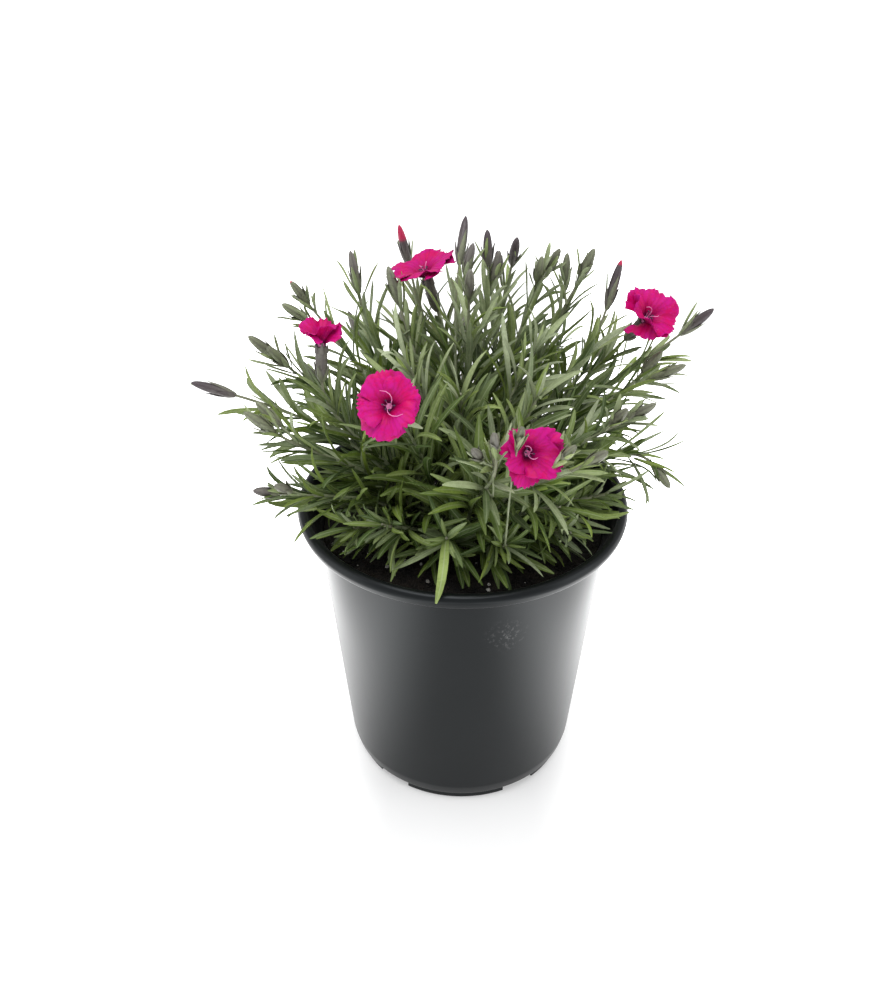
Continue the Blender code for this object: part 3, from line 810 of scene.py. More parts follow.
def plan_stems(draw):
    """All the stems with their heads, before they are grown."""
    stems = []
    for index, (azimuth, lean, reach, head_azimuth, tilt, length, opening) in enumerate(BLOOMS):
        stem = Stem(f"bloom_stem_{index + 1}", azimuth, lean, reach, head_azimuth, tilt)
        stem.petals = (length, opening)
        stems.append(stem)
    for azimuth, lean, reach, head_azimuth, tilt, length, side in BUD_STEMS:
        stem = Stem("bud", azimuth, lean, reach, head_azimuth, tilt)
        stem.buds = (length, side)
        stems.append(stem)
    for azimuth, lean, reach, head_azimuth, tilt in LEAFY_STEMS:
        stems.append(Stem("leafy", azimuth, lean, reach, head_azimuth, tilt))
    for index, (azimuth, lean, reach) in enumerate(fill_bearings(stems, draw)):
        stem = Stem("bud" if index % 3 else "leafy", azimuth, lean, reach, azimuth, lean * 0.8)
        if index % 3:
            stem.buds = (draw.uniform(0.013, 0.018), 0.013 if index % 2 else 0)
        stems.append(stem)
    for kind in ("bud", "leafy"):
        for index, stem in enumerate([stem for stem in stems if stem.name == kind]):
            stem.name = f"{kind}_stem_{index + 1:02d}"
    return stems


print("stems placed from the photograph:", len(BLOOMS) + len(BUD_STEMS) + len(LEAFY_STEMS))

# %% Growing stems and leaves
LEAF_NODES = {
    # share of the stem's way, length of the leaves, spread from the stem
    "under a head": ((0.14, 0.052, 44), (0.46, 0.044, 34), (0.78, 0.026, 28)),
    "low shoot": (
        (0.14, 0.040, 52),
        (0.38, 0.034, 50),
        (0.62, 0.030, 46),
        (0.82, 0.026, 38),
        (0.97, 0.022, 20),
    ),
    "upright shoot": ((0.12, 0.050, 46), (0.42, 0.048, 38), (0.70, 0.040, 30), (0.96, 0.030, 18)),
}
# Degrees aside and share of the length, for each try to keep a leaf clear
LEAF_TRIES = ((0, 1), (24, 1), (-24, 1), (46, 0.9), (-46, 0.9), (0, 0.7), (20, 0.6))
EXTRA_TRIES = ((0, 1), (28, 1), (-28, 0.9), (52, 0.75), (-52, 0.6))


def grow_stem(stem, near, draw):
    """Finds a bow that keeps the stem and its heads clear, and records their shapes."""
    for attempt in range(60):
        size = 0.0006 * attempt
        bow = Vector((draw.uniform(-size, size), draw.uniform(-size, size), 0))
        stem.grow(bow)
        turn = draw.uniform(0, 360)
        shapes, tests = [stem.bar()], [stem.bar(CLEARANCE)]
        if stem.petals:
            shapes.append(calyx_shape(stem.head, stem.head_way))
            tests.append(shapes[-1])
        if stem.buds:
            shapes.append(bud_shape(stem.head, stem.head_way, stem.buds[0]))
            tests.append(bud_shape(stem.head, stem.head_way, stem.buds[0], CLEARANCE))
        if stem.buds and stem.buds[1]:
            branch, bud, thick_bud = side_bud(stem, stem.buds[1], turn)
            shapes += [branch, bud]
            tests += [branch, thick_bud]
        if not any(near.blocked(stem.name, test) for test in tests):
            for shape in shapes:
                near.add(stem.name, shape)
            return True
    return False


def grow_leaves(stem, near, draw):
    """Adds the stem's opposite pairs of leaves, each kept clear of the neighbours."""
    if stem.petals or stem.buds:
        kind = "under a head"
    else:
        kind = "low shoot" if stem.lean > LOW_SHOOT_LEAN else "upright shoot"
    turn = draw.uniform(0, 180)
    for share, length, spread in LEAF_NODES[kind]:
        root, ahead = stem.at(share)
        across = side_of(ahead, LEAF_HINT)
        for pair in (0, 180):
            size = length * draw.uniform(0.88, 1.12)
            bend = draw.uniform(14, 38)
            swing = draw.uniform(-8, 8)
            for step, shrink in LEAF_TRIES:
                out = turn_about(ahead, across, turn + pair + step + swing)
                leaned = spread + draw.uniform(-7, 7)
                test = leaf_shape(root, ahead, out, size * shrink, leaned, bend, LEAF_GAP)
                if near.blocked(stem.name, test):
                    continue
                shape = leaf_shape(root, ahead, out, size * shrink, leaned, bend)
                stem.leaves.append((share, root, ahead, out, size * shrink, leaned, bend))
                near.add(stem.name, shape)
                break
        turn += NODE_TURN


print("the rule is ready")

# %% [markdown]
# ## Growing the plant
#
# The same draws in the same order give the same plant as the solids. Once it stands, a second set of
# draws adds the leaf pairs that the solids leave out, kept clear of other stems in the same way. The
# bracts and the small leaves round each bud come later, with the buds. They lie so close to their own
# head that they aren't tested against neighbours.

# %% Grow what the solids hold
def grow_plant():
    """The stems as in the solids, with the test shapes they were kept clear of."""
    draw = random.Random(SEED)
    near = Neighbours()
    near.add("pot", lathe(pot_profile(), POT_SEGMENTS))
    stems = plan_stems(draw)
    spread_feet(stems)
    for stem in stems:
        if stem.petals:
            for shape in corolla_shapes(stem, draw):
                near.add("corolla of " + stem.name, shape)
    grown = [stem for stem in stems if grow_stem(stem, near, draw)]
    near.add("soil", lathe([(r, z + 0.0005 * (z > 0.1)) for r, z in soil_profile()], POT_SEGMENTS))
    for stem in grown:
        grow_leaves(stem, near, draw)
    return grown, near


stems, near = grow_plant()
print(len(stems), "stems with", sum(len(stem.leaves) for stem in stems), "leaves, as in the solids")

# %% Check against the frame
missing = [stem.name for stem in stems if stem.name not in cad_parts]
print("stems without a solid:", missing)
for stem in stems[:3]:
    low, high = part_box(stem.name)
    print(stem.name, "solid from", [round(v, 4) for v in low], "to", [round(v, 4) for v in high])

# %% More leaves
EXTRA_SEED = 5
EXTRA_PAIRS = 20
EXTRA_LONGEST = 0.053
EXTRA_SHORTEST = 0.017
LOW_PAIRS = 16
LOW_SIZE = 0.62
BOX_MARGIN = 0.0025


def within(points):
    """Whether points stay inside the solids' box, or at most a little outside it."""
    for low, high, places in zip(*BOX_AT_LOAD, zip(*points)):
        if min(places) <= low - BOX_MARGIN or max(places) >= high + BOX_MARGIN:
            return False
    return True


def add_leaves(stem, near, draw):
    """Pairs of leaves between those of the solids, longer low on the stem."""
    headless = not (stem.petals or stem.buds)
    low = headless and stem.lean > LOW_SHOOT_LEAN
    last = 0.98 if headless else 0.84
    crowding = 1.0 if headless else 1.35
    pairs = LOW_PAIRS if low else EXTRA_PAIRS
    turn = draw.uniform(0, 180)
    for index in range(pairs):
        share = 0.03 + (last - 0.03) * ((index + draw.uniform(0.0, 1.0)) / pairs) ** crowding
        length = EXTRA_LONGEST + (EXTRA_SHORTEST - EXTRA_LONGEST) * share**1.3
        if low:
            length *= LOW_SIZE
        root, ahead = stem.at(share)
        across = side_of(ahead, LEAF_HINT)
        for pair in (0, 180):
            size = length * draw.uniform(0.75, 1.15)
            bend = draw.uniform(-30, 70) if low else draw.uniform(5, 45)
            spread = (60 if low else 44) - 27 * share + draw.uniform(-13, 13)
            for step, shrink in EXTRA_TRIES:
                out = turn_about(ahead, across, turn + pair + step + draw.uniform(-9, 9))
                test = leaf_shape(root, ahead, out, size * shrink, spread, bend, 0.0001)
                if near.blocked(stem.name, test) or not within(test[0]):
                    continue
                stem.leaves.append((share, root, ahead, out, size * shrink, spread, bend))
                near.add(stem.name, test)
                break
        turn += NODE_TURN + draw.uniform(-12, 12)


extra_draw = random.Random(EXTRA_SEED)
for stem in stems:
    add_leaves(stem, near, extra_draw)
print("leaves in all:", sum(len(stem.leaves) for stem in stems))

# %% Leaves and thin stems that the photograph shows
PLACED_LEAVES = (
    # root, middle, tip, widest, how young (yellow-green, partly painted light through the leaf)
    ((-0.0098, -0.0620, 0.1707), (-0.0085, -0.0800, 0.1690), (-0.0129, -0.0845, 0.1551), 0.0042, 0.8),
    ((0.0519, -0.0300, 0.1672), (0.0616, -0.0400, 0.1650), (0.0756, -0.0480, 0.1791), 0.0040, 0.7),
    ((0.0618, -0.0150, 0.1615), (0.0720, -0.0180, 0.1610), (0.0778, -0.0200, 0.1730), 0.0034, 0.3),
    ((-0.0703, -0.0400, 0.1786), (-0.0802, -0.0420, 0.1770), (-0.0899, -0.0440, 0.1814), 0.0042, 0.8),
)
THIN_STEMS = (
    # root, middle, foot of the bud, length of the bud
    ((0.0190, -0.0660, 0.1676), (0.0170, -0.0840, 0.2212), (0.0207, -0.0885, 0.2418), 0.008),
    ((0.0220, -0.0800, 0.2019), (0.0310, -0.0850, 0.2218), (0.0385, -0.0885, 0.2337), 0.009),
    ((0.0151, -0.0700, 0.1902), (0.0105, -0.0820, 0.2190), (0.0108, -0.0850, 0.2343), 0.007),
)


def nearest_stem(place):
    """The stem that passes nearest to a place, and the point of it there."""
    best = None
    for stem in stems:
        for step in range(2, 20):
            point = stem.at(step / 20)[0]
            apart = (point - place).length
            if best is None or apart < best[0]:
                best = (apart, stem, point)
    return best[1], best[2]


placed = {}
for kind, rows in (("leaf", PLACED_LEAVES), ("stem", THIN_STEMS)):
    for row in rows:
        stem, point = nearest_stem(Vector(row[0]))
        placed.setdefault(stem.name, []).append((kind, point, row))
        apart = (point - Vector(row[0])).length
        print(kind, "on", stem.name, "reaches", round(1000 * apart), "mm to its place")

# %% [markdown]
# ## Finishes
#
# Foliage, buds, petals, soil and plastic are each a Principled shader fed by noise and by values that
# the pieces carry on their own points: how far along an organ a point lies, how far across, and a
# tint drawn once for each leaf. Two effects are shared by several finishes and are node groups:
# mottling in two sizes, and fine lines that run along an organ.

# %% A small helper for wiring nodes
class Wiring:
    """Adds nodes to one tree and joins them: an input given a socket is linked, any other is set."""

    def __init__(self, tree):
        self.tree = tree

    def feed(self, value, socket):
        """Links a socket to an input, or sets the input to a plain value."""
        if isinstance(value, bpy.types.NodeSocket):
            self.tree.links.new(value, socket)
        else:
            socket.default_value = value

    def add(self, kind, inputs=None, **settings):
        """A new node with these settings and inputs."""
        node = self.tree.nodes.new(kind)
        for name, value in settings.items():
            setattr(node, name, value)
        for name, value in (inputs or {}).items():
            self.feed(value, node.inputs[name])
        return node

    def attribute(self, name):
        """A value that the piece carries on its points."""
        return self.add("ShaderNodeAttribute", attribute_name=name).outputs["Fac"]

    def place(self):
        """Where a point lies, in metres."""
        return self.add("ShaderNodeTexCoord").outputs["Object"]

    def maths(self, operation, first, second=0.0):
        """One operation on one or two values."""
        return self.add("ShaderNodeMath", {0: first, 1: second}, operation=operation).outputs[0]

    def fit(self, value, low, high, to_low=0.0, to_high=1.0):
        """A value taken smoothly from one range to another."""
        inputs = {"Value": value, "From Min": low, "From Max": high, "To Min": to_low, "To Max": to_high}
        return self.add("ShaderNodeMapRange", inputs, interpolation_type="SMOOTHSTEP").outputs["Result"]

    def blend(self, share, first, second):
        """A colour between two, each given as red, green and blue or as a socket."""
        colours = [
            value if isinstance(value, bpy.types.NodeSocket) else (*value, 1) for value in (first, second)
        ]
        inputs = {"Factor": share, 6: colours[0], 7: colours[1]}
        return self.add("ShaderNodeMix", inputs, data_type="RGBA").outputs[2]


def new_finish(name):
    """An empty finish: the material, its wiring and its shader."""
    material = bpy.data.materials.new(name)
    material.use_nodes = True
    return material, Wiring(material.node_tree), material.node_tree.nodes["Principled BSDF"]


def dress(wiring, shader, colour, roughness):
    """Gives a shader its colour and its roughness."""
    wiring.feed(colour, shader.inputs["Base Color"])
    wiring.feed(roughness, shader.inputs["Roughness"])


def declare(tree, inputs, outputs):
    """Gives a tree its inputs and outputs, from rows of name, kind and first value."""
    for in_out, rows in (("INPUT", inputs), ("OUTPUT", outputs)):
        for name, kind, value in rows:
            made = tree.interface.new_socket(name, in_out=in_out, socket_type="NodeSocket" + kind)
            if value is not None:
                made.default_value = value


print("wiring helper ready")

# %% Shared effects
def effect_group(name, inputs):
    """An empty shader node group: its wiring, its inputs and the socket for its mask."""
    group = bpy.data.node_groups.new(name, "ShaderNodeTree")
    declare(group, inputs, (("Mask", "Float", None),))
    wiring = Wiring(group)
    return wiring, wiring.add("NodeGroupInput").outputs, wiring.add("NodeGroupOutput").inputs["Mask"]


def make_mottle():
    """Uneven tone in two sizes, from 0 to 1."""
    inputs = (("Vector", "Vector", None), ("Broad", "Float", 40.0), ("Fine", "Float", 400.0))
    wiring, source, mask = effect_group("mottle", inputs)
    parts = []
    for size, detail, weight in (("Broad", 2.0, 0.6), ("Fine", 3.0, 0.4)):
        inputs = {"Vector": source["Vector"], "Scale": source[size], "Detail": detail}
        tone = wiring.add("ShaderNodeTexNoise", inputs).outputs["Fac"]
        parts.append(wiring.maths("MULTIPLY", tone, weight))
    wiring.feed(wiring.fit(wiring.maths("ADD", *parts), 0.36, 0.64), mask)
    return wiring.tree


def make_veins():
    """Fine lines along an organ, from how far across it a point lies."""
    inputs = [(name, "Float", value) for name, value in (("Across", 0.0), ("Lines", 9.0), ("Waver", 0.0))]
    wiring, source, mask = effect_group("veins", inputs)
    shifted = wiring.maths("ADD", source["Across"], wiring.maths("MULTIPLY", source["Waver"], 0.12))
    turned = wiring.maths("MULTIPLY", shifted, wiring.maths("MULTIPLY", source["Lines"], math.pi))
    wave = wiring.maths("MULTIPLY_ADD", wiring.maths("COSINE", turned), 0.5)
    wave.node.inputs[2].default_value = 0.5
    wiring.feed(wiring.maths("POWER", wave, 2.5), mask)
    return wiring.tree


MOTTLE = make_mottle()
VEINS = make_veins()
print("effects:", MOTTLE.name, "and", VEINS.name)


def mottle(wiring, broad, fine):
    """The mottle effect placed in a finish."""
    inputs = {"Vector": wiring.place(), "Broad": broad, "Fine": fine}
    return wiring.add("ShaderNodeGroup", inputs, node_tree=MOTTLE).outputs["Mask"]


def veins(wiring, lines, waver):
    """The veins effect placed in a finish."""
    inputs = {"Across": wiring.attribute("across"), "Lines": lines, "Waver": waver}
    return wiring.add("ShaderNodeGroup", inputs, node_tree=VEINS).outputs["Mask"]


def bump(wiring, shader, height, strength, distance):
    """Joins a height to the shader's normal."""
    inputs = {"Height": height, "Strength": strength, "Distance": distance}
    wiring.feed(wiring.add("ShaderNodeBump", inputs).outputs["Normal"], shader.inputs["Normal"])


# %% Foliage finish
# This deep green is painted shade at each leaf's root and the dark of the leaves' random mottle.
LEAF_SHADE_AND_DEEP_GREEN = (0.015, 0.031, 0.003)
# A leaf's tint runs from this green to the grey: its own colour, with painted shade low and painted light
# high.
LEAF_GREEN = (0.050, 0.092, 0.010)
LEAF_GREY = (0.385, 0.440, 0.270)
# Yellow-green of young leaves, also painted light that stands in for light shining through leaves.
LEAF_YOUNG_AND_BACKLIT = (0.250, 0.340, 0.055)
STEM_GREEN = (0.150, 0.185, 0.090)
STEM_PALE = (0.250, 0.275, 0.175)
STEM_PURPLE = (0.16, 0.12, 0.11)


def make_leaf_finish():
    """Grey-green leaves with a paler midrib, painted shade in deep green at the root, waxy grey at the tips.
    """
    material, wiring, shader = new_finish("foliage")
    tint = wiring.attribute("tint")
    along = wiring.attribute("along")
    tone = mottle(wiring, 60.0, 700.0)
    grey = wiring.blend(wiring.fit(tint, 0.0, 1.0), LEAF_GREEN, LEAF_GREY)
    # Yellow-green on some leaves: young colour and painted light shining through them.
    young_and_backlit = wiring.blend(wiring.attribute("flush"), grey, LEAF_YOUNG_AND_BACKLIT)
    # Painted shade: each leaf darkens towards deep green near its root.
    root_shade = wiring.maths("MULTIPLY", wiring.fit(along, 0.0, 0.55, 1.0, 0.0), 0.45)
    root_shaded = wiring.blend(root_shade, young_and_backlit, LEAF_SHADE_AND_DEEP_GREEN)
    mottled = wiring.blend(wiring.maths("MULTIPLY", tone, 0.35), root_shaded, LEAF_SHADE_AND_DEEP_GREEN)
    middle = wiring.fit(wiring.maths("ABSOLUTE", wiring.attribute("across")), 0.0, 0.22, 0.4, 0.0)
    ribbed = wiring.blend(middle, mottled, LEAF_GREY)
    dress(wiring, shader, ribbed, wiring.fit(tone, 0, 1, 0.48, 0.66))
    bump(wiring, shader, veins(wiring, 7.0, tone), 0.25, 0.0003)
    return material


def make_stem_finish():
    """Pale grey-green stems, a little purple near the heads."""
    material, wiring, shader = new_finish("stems")
    tone = mottle(wiring, 80.0, 900.0)
    green = wiring.blend(tone, STEM_GREEN, STEM_PALE)
    near_head = wiring.fit(wiring.attribute("along"), 0.6, 1.0, 0.0, 0.35)
    flushed = wiring.blend(near_head, green, STEM_PURPLE)
    dress(wiring, shader, flushed, wiring.fit(tone, 0, 1, 0.45, 0.6))
    return material


leaf_finish = make_leaf_finish()
stem_finish = make_stem_finish()
print("finishes:", leaf_finish.name, stem_finish.name)

# %% Bud finish
BUD_GREEN = (0.180, 0.205, 0.115)
BUD_GREY = (0.150, 0.140, 0.122)
BUD_DARK = (0.052, 0.038, 0.044)
BUD_RED = (0.40, 0.006, 0.060)


def make_bud_finish():
    """Buds and calyces: green at the foot, purple-grey above, with a red tip where the petals show."""
    material, wiring, shader = new_finish("buds")
    tint = wiring.attribute("tint")
    along = wiring.attribute("along")
    tone = mottle(wiring, 120.0, 900.0)
    body = wiring.blend(wiring.fit(tint, 0.1, 0.6), BUD_GREEN, BUD_GREY)
    dusk = wiring.maths("MULTIPLY", wiring.fit(tint, 0.5, 1.0), wiring.fit(along, 0.1, 0.7))
    dark = wiring.blend(dusk, body, BUD_DARK)
    grooves = wiring.fit(wiring.attribute("across"), -1.0, 0.2, 0.45, 0.0)
    toned = wiring.blend(wiring.maths("MULTIPLY", tone, 0.4), dark, BUD_DARK)
    lined = wiring.blend(grooves, toned, BUD_DARK)
    reach = wiring.maths("ADD", along, wiring.maths("MULTIPLY", wiring.attribute("flush"), 0.85))
    show = wiring.fit(reach, 1.40, 1.49)
    red = wiring.blend(show, lined, BUD_RED)
    dress(wiring, shader, red, wiring.fit(tone, 0, 1, 0.42, 0.62))
    bump(wiring, shader, tone, 0.3, 0.0004)
    return material


bud_finish = make_bud_finish()
print("finish:", bud_finish.name)

# %% Petal finish
PETAL_PINK = (0.50, 0.001, 0.100)
PETAL_MAUVE = (0.47, 0.006, 0.200)
PETAL_DEEP = (0.26, 0.001, 0.035)
PETAL_EYE = (0.10, 0.003, 0.045)
STYLE_PINK = (0.72, 0.22, 0.46)
ANTHER_DARK = (0.045, 0.020, 0.055)


def make_petal_finish():
    """Velvet magenta: deeper towards the throat, paler veins fanning out, and a bright rim."""
    material, wiring, shader = new_finish("petals")
    along = wiring.attribute("along")
    tone = mottle(wiring, 130.0, 900.0)
    lines = veins(wiring, 8.0, tone)
    light = wiring.blend(tone, PETAL_PINK, PETAL_MAUVE)
    rimmed = wiring.blend(wiring.fit(along, 0.86, 1.0, 0.0, 0.5), light, PETAL_MAUVE)
    veined = wiring.blend(wiring.maths("MULTIPLY", lines, 0.28), rimmed, PETAL_DEEP)
    mottled = wiring.blend(wiring.fit(along, 0.2, 0.75, 0.5, 0.0), veined, PETAL_DEEP)
    throat = wiring.fit(along, 0.10, 0.28, 0.9, 0.0)
    eyed = wiring.blend(throat, mottled, PETAL_EYE)
    dress(wiring, shader, eyed, wiring.fit(tone, 0, 1, 0.42, 0.6))
    shader.inputs["Specular IOR Level"].default_value = 0.12
    bump(wiring, shader, lines, 0.35, 0.0003)
    return material


def make_style_finish():
    """The pale pink styles and the dark anthers at their feet."""
    material, wiring, shader = new_finish("styles")
    tint = wiring.attribute("tint")
    colour = wiring.blend(wiring.fit(tint, 0.3, 0.7), STYLE_PINK, ANTHER_DARK)
    dress(wiring, shader, colour, 0.5)
    return material


petal_finish = make_petal_finish()
style_finish = make_style_finish()
print("finishes:", petal_finish.name, style_finish.name)

# %% [markdown]
# ## Swept organs
#
# A leaf, a stem, a bud, a bract and a style are all one idea: a section carried along a line, wider or
# narrower as it goes. Each is drawn as a chain of points that holds its half width, its upper side, its
# kind and its tint. One Geometry Nodes tree turns the chains into curves and sweeps the right section
# along each: a shallow gutter for blades, a circle for round organs. Working from chains keeps every
# leaf of a stem in one mesh and one pass.

# %% Chains of points
LEAF, STALK, BUD, BRACT, STYLE = range(5)


class Chains:
    """Lines of points with the values that the sweeping tree reads."""

    def __init__(self):
        self.points, self.edges = [], []
        self.values = {"half_width": [], "kind": [], "tint": [], "along": [], "flush": []}
        self.ups = []

    def add(self, points, widths, ups, kind, tint, flush=0.0):
        """Adds one organ: its line, half widths, upper sides, kind, tint and flush."""
        first = len(self.points)
        count = len(points)
        for index, point in enumerate(points):
            ahead = (points[min(index + 1, count - 1)] - points[max(index - 1, 0)]).normalized()
            up = ups[index] - ahead * ups[index].dot(ahead)
            self.points.append(tuple(point))
            self.ups.append(tuple(up.normalized()))
            for name, value in zip(self.values, (widths[index], kind, tint, index / (count - 1), flush)):
                self.values[name].append(value)
        self.edges += [(first + i, first + i + 1) for i in range(count - 1)]

    def mesh(self, name):
        """The lines as a mesh of edges with the values on its points."""
        made = bpy.data.meshes.new(name)
        made.from_pydata(self.points, self.edges, [])
        for key, values in self.values.items():
            kind = "INT" if key == "kind" else "FLOAT"
            made.attributes.new(key, kind, "POINT").data.foreach_set("value", values)
        flat = [value for up in self.ups for value in up]
        made.attributes.new("up", "FLOAT_VECTOR", "POINT").data.foreach_set("vector", flat)
        return made


def upright(points):
    """An upper side for round organs: any steady direction across the line."""
    ahead = (points[-1] - points[0]).normalized()
    return [side_of(ahead, SWEEP_HINT)] * len(points)


print("kinds of organ:", LEAF, STALK, BUD, BRACT, STYLE)

# %% Gutter section
GUTTER = (
    # across, up, both for a half width of 1
    (-1.0, 0.30),
    (-0.5, 0.04),
    (0.0, -0.04),
    (0.5, 0.04),
    (1.0, 0.30),
    (0.5, -0.20),
    (0.0, -0.36),
    (-0.5, -0.20),
)


def make_section(name, corners, values):
    """A closed outline as an object. The sweep puts its X on the organ's upper side and its Y across."""
    mesh = bpy.data.meshes.new(name)
    count = len(corners)
    edges = [(i, (i + 1) % count) for i in range(count)]
    mesh.from_pydata([(up, across, 0) for across, up in corners], edges, [])
    mesh.attributes.new("across", "FLOAT", "POINT").data.foreach_set("value", values)
    return bpy.data.objects.new(name, mesh)


RIBS = 5
RIB_DEPTH = 0.07


def ribbed_outline():
    """A round outline with shallow ribs; its across value is 1 on a rib and -1 in a groove."""
    corners = []
    for index in range(2 * RIBS):
        turn = math.pi * index / RIBS
        radius = 1.0 if index % 2 == 0 else 1.0 - RIB_DEPTH
        corners.append((radius * math.cos(turn), radius * math.sin(turn)))
    return corners


gutter = make_section("gutter_section", GUTTER, [across for across, _ in GUTTER])
ribbed = make_section("ribbed_section", ribbed_outline(), [1 - 2 * (i % 2) for i in range(2 * RIBS)])
print("gutter of", len(GUTTER), "corners, round section of", 2 * RIBS)

# %% The sweeping tree
FINISH_KINDS = {
    "Leaf finish": (LEAF,),
    "Stem finish": (STALK,),
    "Bud finish": (BUD, BRACT),
    "Style finish": (STYLE,),
}


def make_sweeping_tree():
    """Chains in, closed organs out, each kind with its own section and finish."""
    tree = bpy.data.node_groups.new("swept_organs", "GeometryNodeTree")
    geometry = ("Geometry", "Geometry", None)
    inputs = [geometry, ("Blade section", "Object", None), ("Round section", "Object", None)]
    inputs.append(("Stem thickness", "Float", 1.0))
    inputs += [(name, "Material", None) for name in FINISH_KINDS]
    declare(tree, inputs, (geometry,))
    wiring = Wiring(tree)
    source = wiring.add("NodeGroupInput").outputs
    sink = wiring.add("NodeGroupOutput")
    curve = wiring.add("GeometryNodeMeshToCurve", {"Mesh": source["Geometry"]}).outputs["Curve"]
    up = named_value(wiring, "up", "FLOAT_VECTOR")
    inputs = {"Curve": curve, "Normal": up}
    turned = wiring.add("GeometryNodeSetCurveNormal", inputs, mode="FREE").outputs["Curve"]
    kind = named_value(wiring, "kind", "INT")
    is_leaf, is_bract = same(wiring, kind, LEAF), same(wiring, kind, BRACT)
    is_blade = wiring.add("FunctionNodeBooleanMath", {0: is_leaf, 1: is_bract}, operation="OR").outputs[0]
    inputs = {"Geometry": turned, "Selection": is_blade}
    sorted_curves = wiring.add("GeometryNodeSeparateGeometry", inputs, domain="CURVE").outputs
    outlines = []
    for name in ("Blade section", "Round section"):
        outline = wiring.add("GeometryNodeObjectInfo", {"Object": source[name]}).outputs["Geometry"]
        outlines.append(wiring.add("GeometryNodeMeshToCurve", {"Mesh": outline}).outputs["Curve"])
    width = named_value(wiring, "half_width", "FLOAT")
    thick = wiring.maths("MULTIPLY", width, source["Stem thickness"])
    joined = wiring.add("GeometryNodeJoinGeometry")
    for share, outline, scale in (("Selection", outlines[0], width), ("Inverted", outlines[1], thick)):
        wiring.feed(sweep(wiring, sorted_curves[share], outline, scale), joined.inputs[0])
    shaped = wiring.add("GeometryNodeRealizeInstances", {"Geometry": joined.outputs[0]}).outputs[0]
    for name, kinds in FINISH_KINDS.items():
        for number in kinds:
            inputs = {"Geometry": shaped, "Selection": same(wiring, kind, number), "Material": source[name]}
            shaped = wiring.add("GeometryNodeSetMaterial", inputs).outputs[0]
    wiring.feed(shaped, sink.inputs[0])
    return tree


def named_value(wiring, name, kind):
    """A named value read from the points."""
    return wiring.add("GeometryNodeInputNamedAttribute", {"Name": name}, data_type=kind).outputs["Attribute"]


def same(wiring, kind, number):
    """Whether a point's kind is this one."""
    node = wiring.add("FunctionNodeCompare", {2: kind, 3: number}, data_type="INT", operation="EQUAL")
    return node.outputs["Result"]


def sweep(wiring, curve, section, width):
    """The section carried along the curve and closed at both ends."""
    inputs = {"Curve": curve, "Profile Curve": section, "Scale": width, "Fill Caps": True}
    return wiring.add("GeometryNodeCurveToMesh", inputs).outputs["Mesh"]


SWEEPING = make_sweeping_tree()
print("tree", SWEEPING.name, "with", len(SWEEPING.nodes), "nodes")

# %% From chains to a piece
SWEPT_EDGE = 62  # degrees between faces from which an edge stays sharp


def face_outwards(mesh):
    """Turns the faces of closed shapes outwards."""
    work = bmesh.new()
    work.from_mesh(mesh)
    bmesh.ops.recalc_face_normals(work, faces=work.faces)
    work.to_mesh(mesh)
    work.free()


def run_tree(name, base, tree, values):
    """The piece that a tree makes of a base mesh, as a plain mesh with its faces outwards."""
    holder = add_object(name + "_base", base)
    modifier = holder.modifiers.new("tree", "NODES")
    modifier.node_group = tree
    for item in tree.interface.items_tree:
        if item.in_out == "INPUT" and item.name in values:
            modifier[item.identifier] = values[item.name]
    graph = bpy.context.evaluated_depsgraph_get()
    mesh = bpy.data.meshes.new_from_object(holder.evaluated_get(graph))
    bpy.data.objects.remove(holder, do_unlink=True)
    mesh.name = name
    face_outwards(mesh)
    return add_object(name, mesh)


def sweep_piece(name, chains):
    """A piece made by the sweeping tree from its chains."""
    values = {"Blade section": gutter, "Round section": ribbed, "Stem thickness": 1.0}
    values.update({"Leaf finish": leaf_finish, "Stem finish": stem_finish})
    values.update({"Bud finish": bud_finish, "Style finish": style_finish})
    piece = run_tree(name, chains.mesh(name + "_chains"), SWEEPING, values)
    piece.data.shade_smooth()
    piece.data.set_sharp_from_angle(angle=math.radians(SWEPT_EDGE))
    return piece


print("pieces come out as plain meshes")

# %% [markdown]
# ## Leafy stems
#
# Each stem's piece takes the place of its solid: the stem with a slight knuckle at every pair, the
# leaves as gutters that taper to a soft point, and the bud as a spindle clasped by bracts.

# %% Leaves as chains
LEAF_POINTS = 9
LEAF_OUTLINE = (0.55, 0.68, 0.84, 0.95, 1.0, 1.0, 0.93, 0.72, 0.22)
THINNEST = 0.00012  # half width of a leaf's tip

# Half width low and high on a stem, as a share of the solid leaf's, and how much single leaves differ
LEAF_BREADTH = (1.14, 0.78)
LEAF_DIFFERS = (0.72, 1.16)

# At most: swing aside as a share of the length, twist in radians, and hook of the tip in degrees
LEAF_SWAY = 0.42
LEAF_TWIST = 0.9
LEAF_HOOK = (-40, 110)

# Heights between which leaves turn from deep green to grey: painted shade low in the dome, painted light on
# top
PAINTED_SHADE_HEIGHT = 0.182
PAINTED_LIGHT_HEIGHT = 0.238


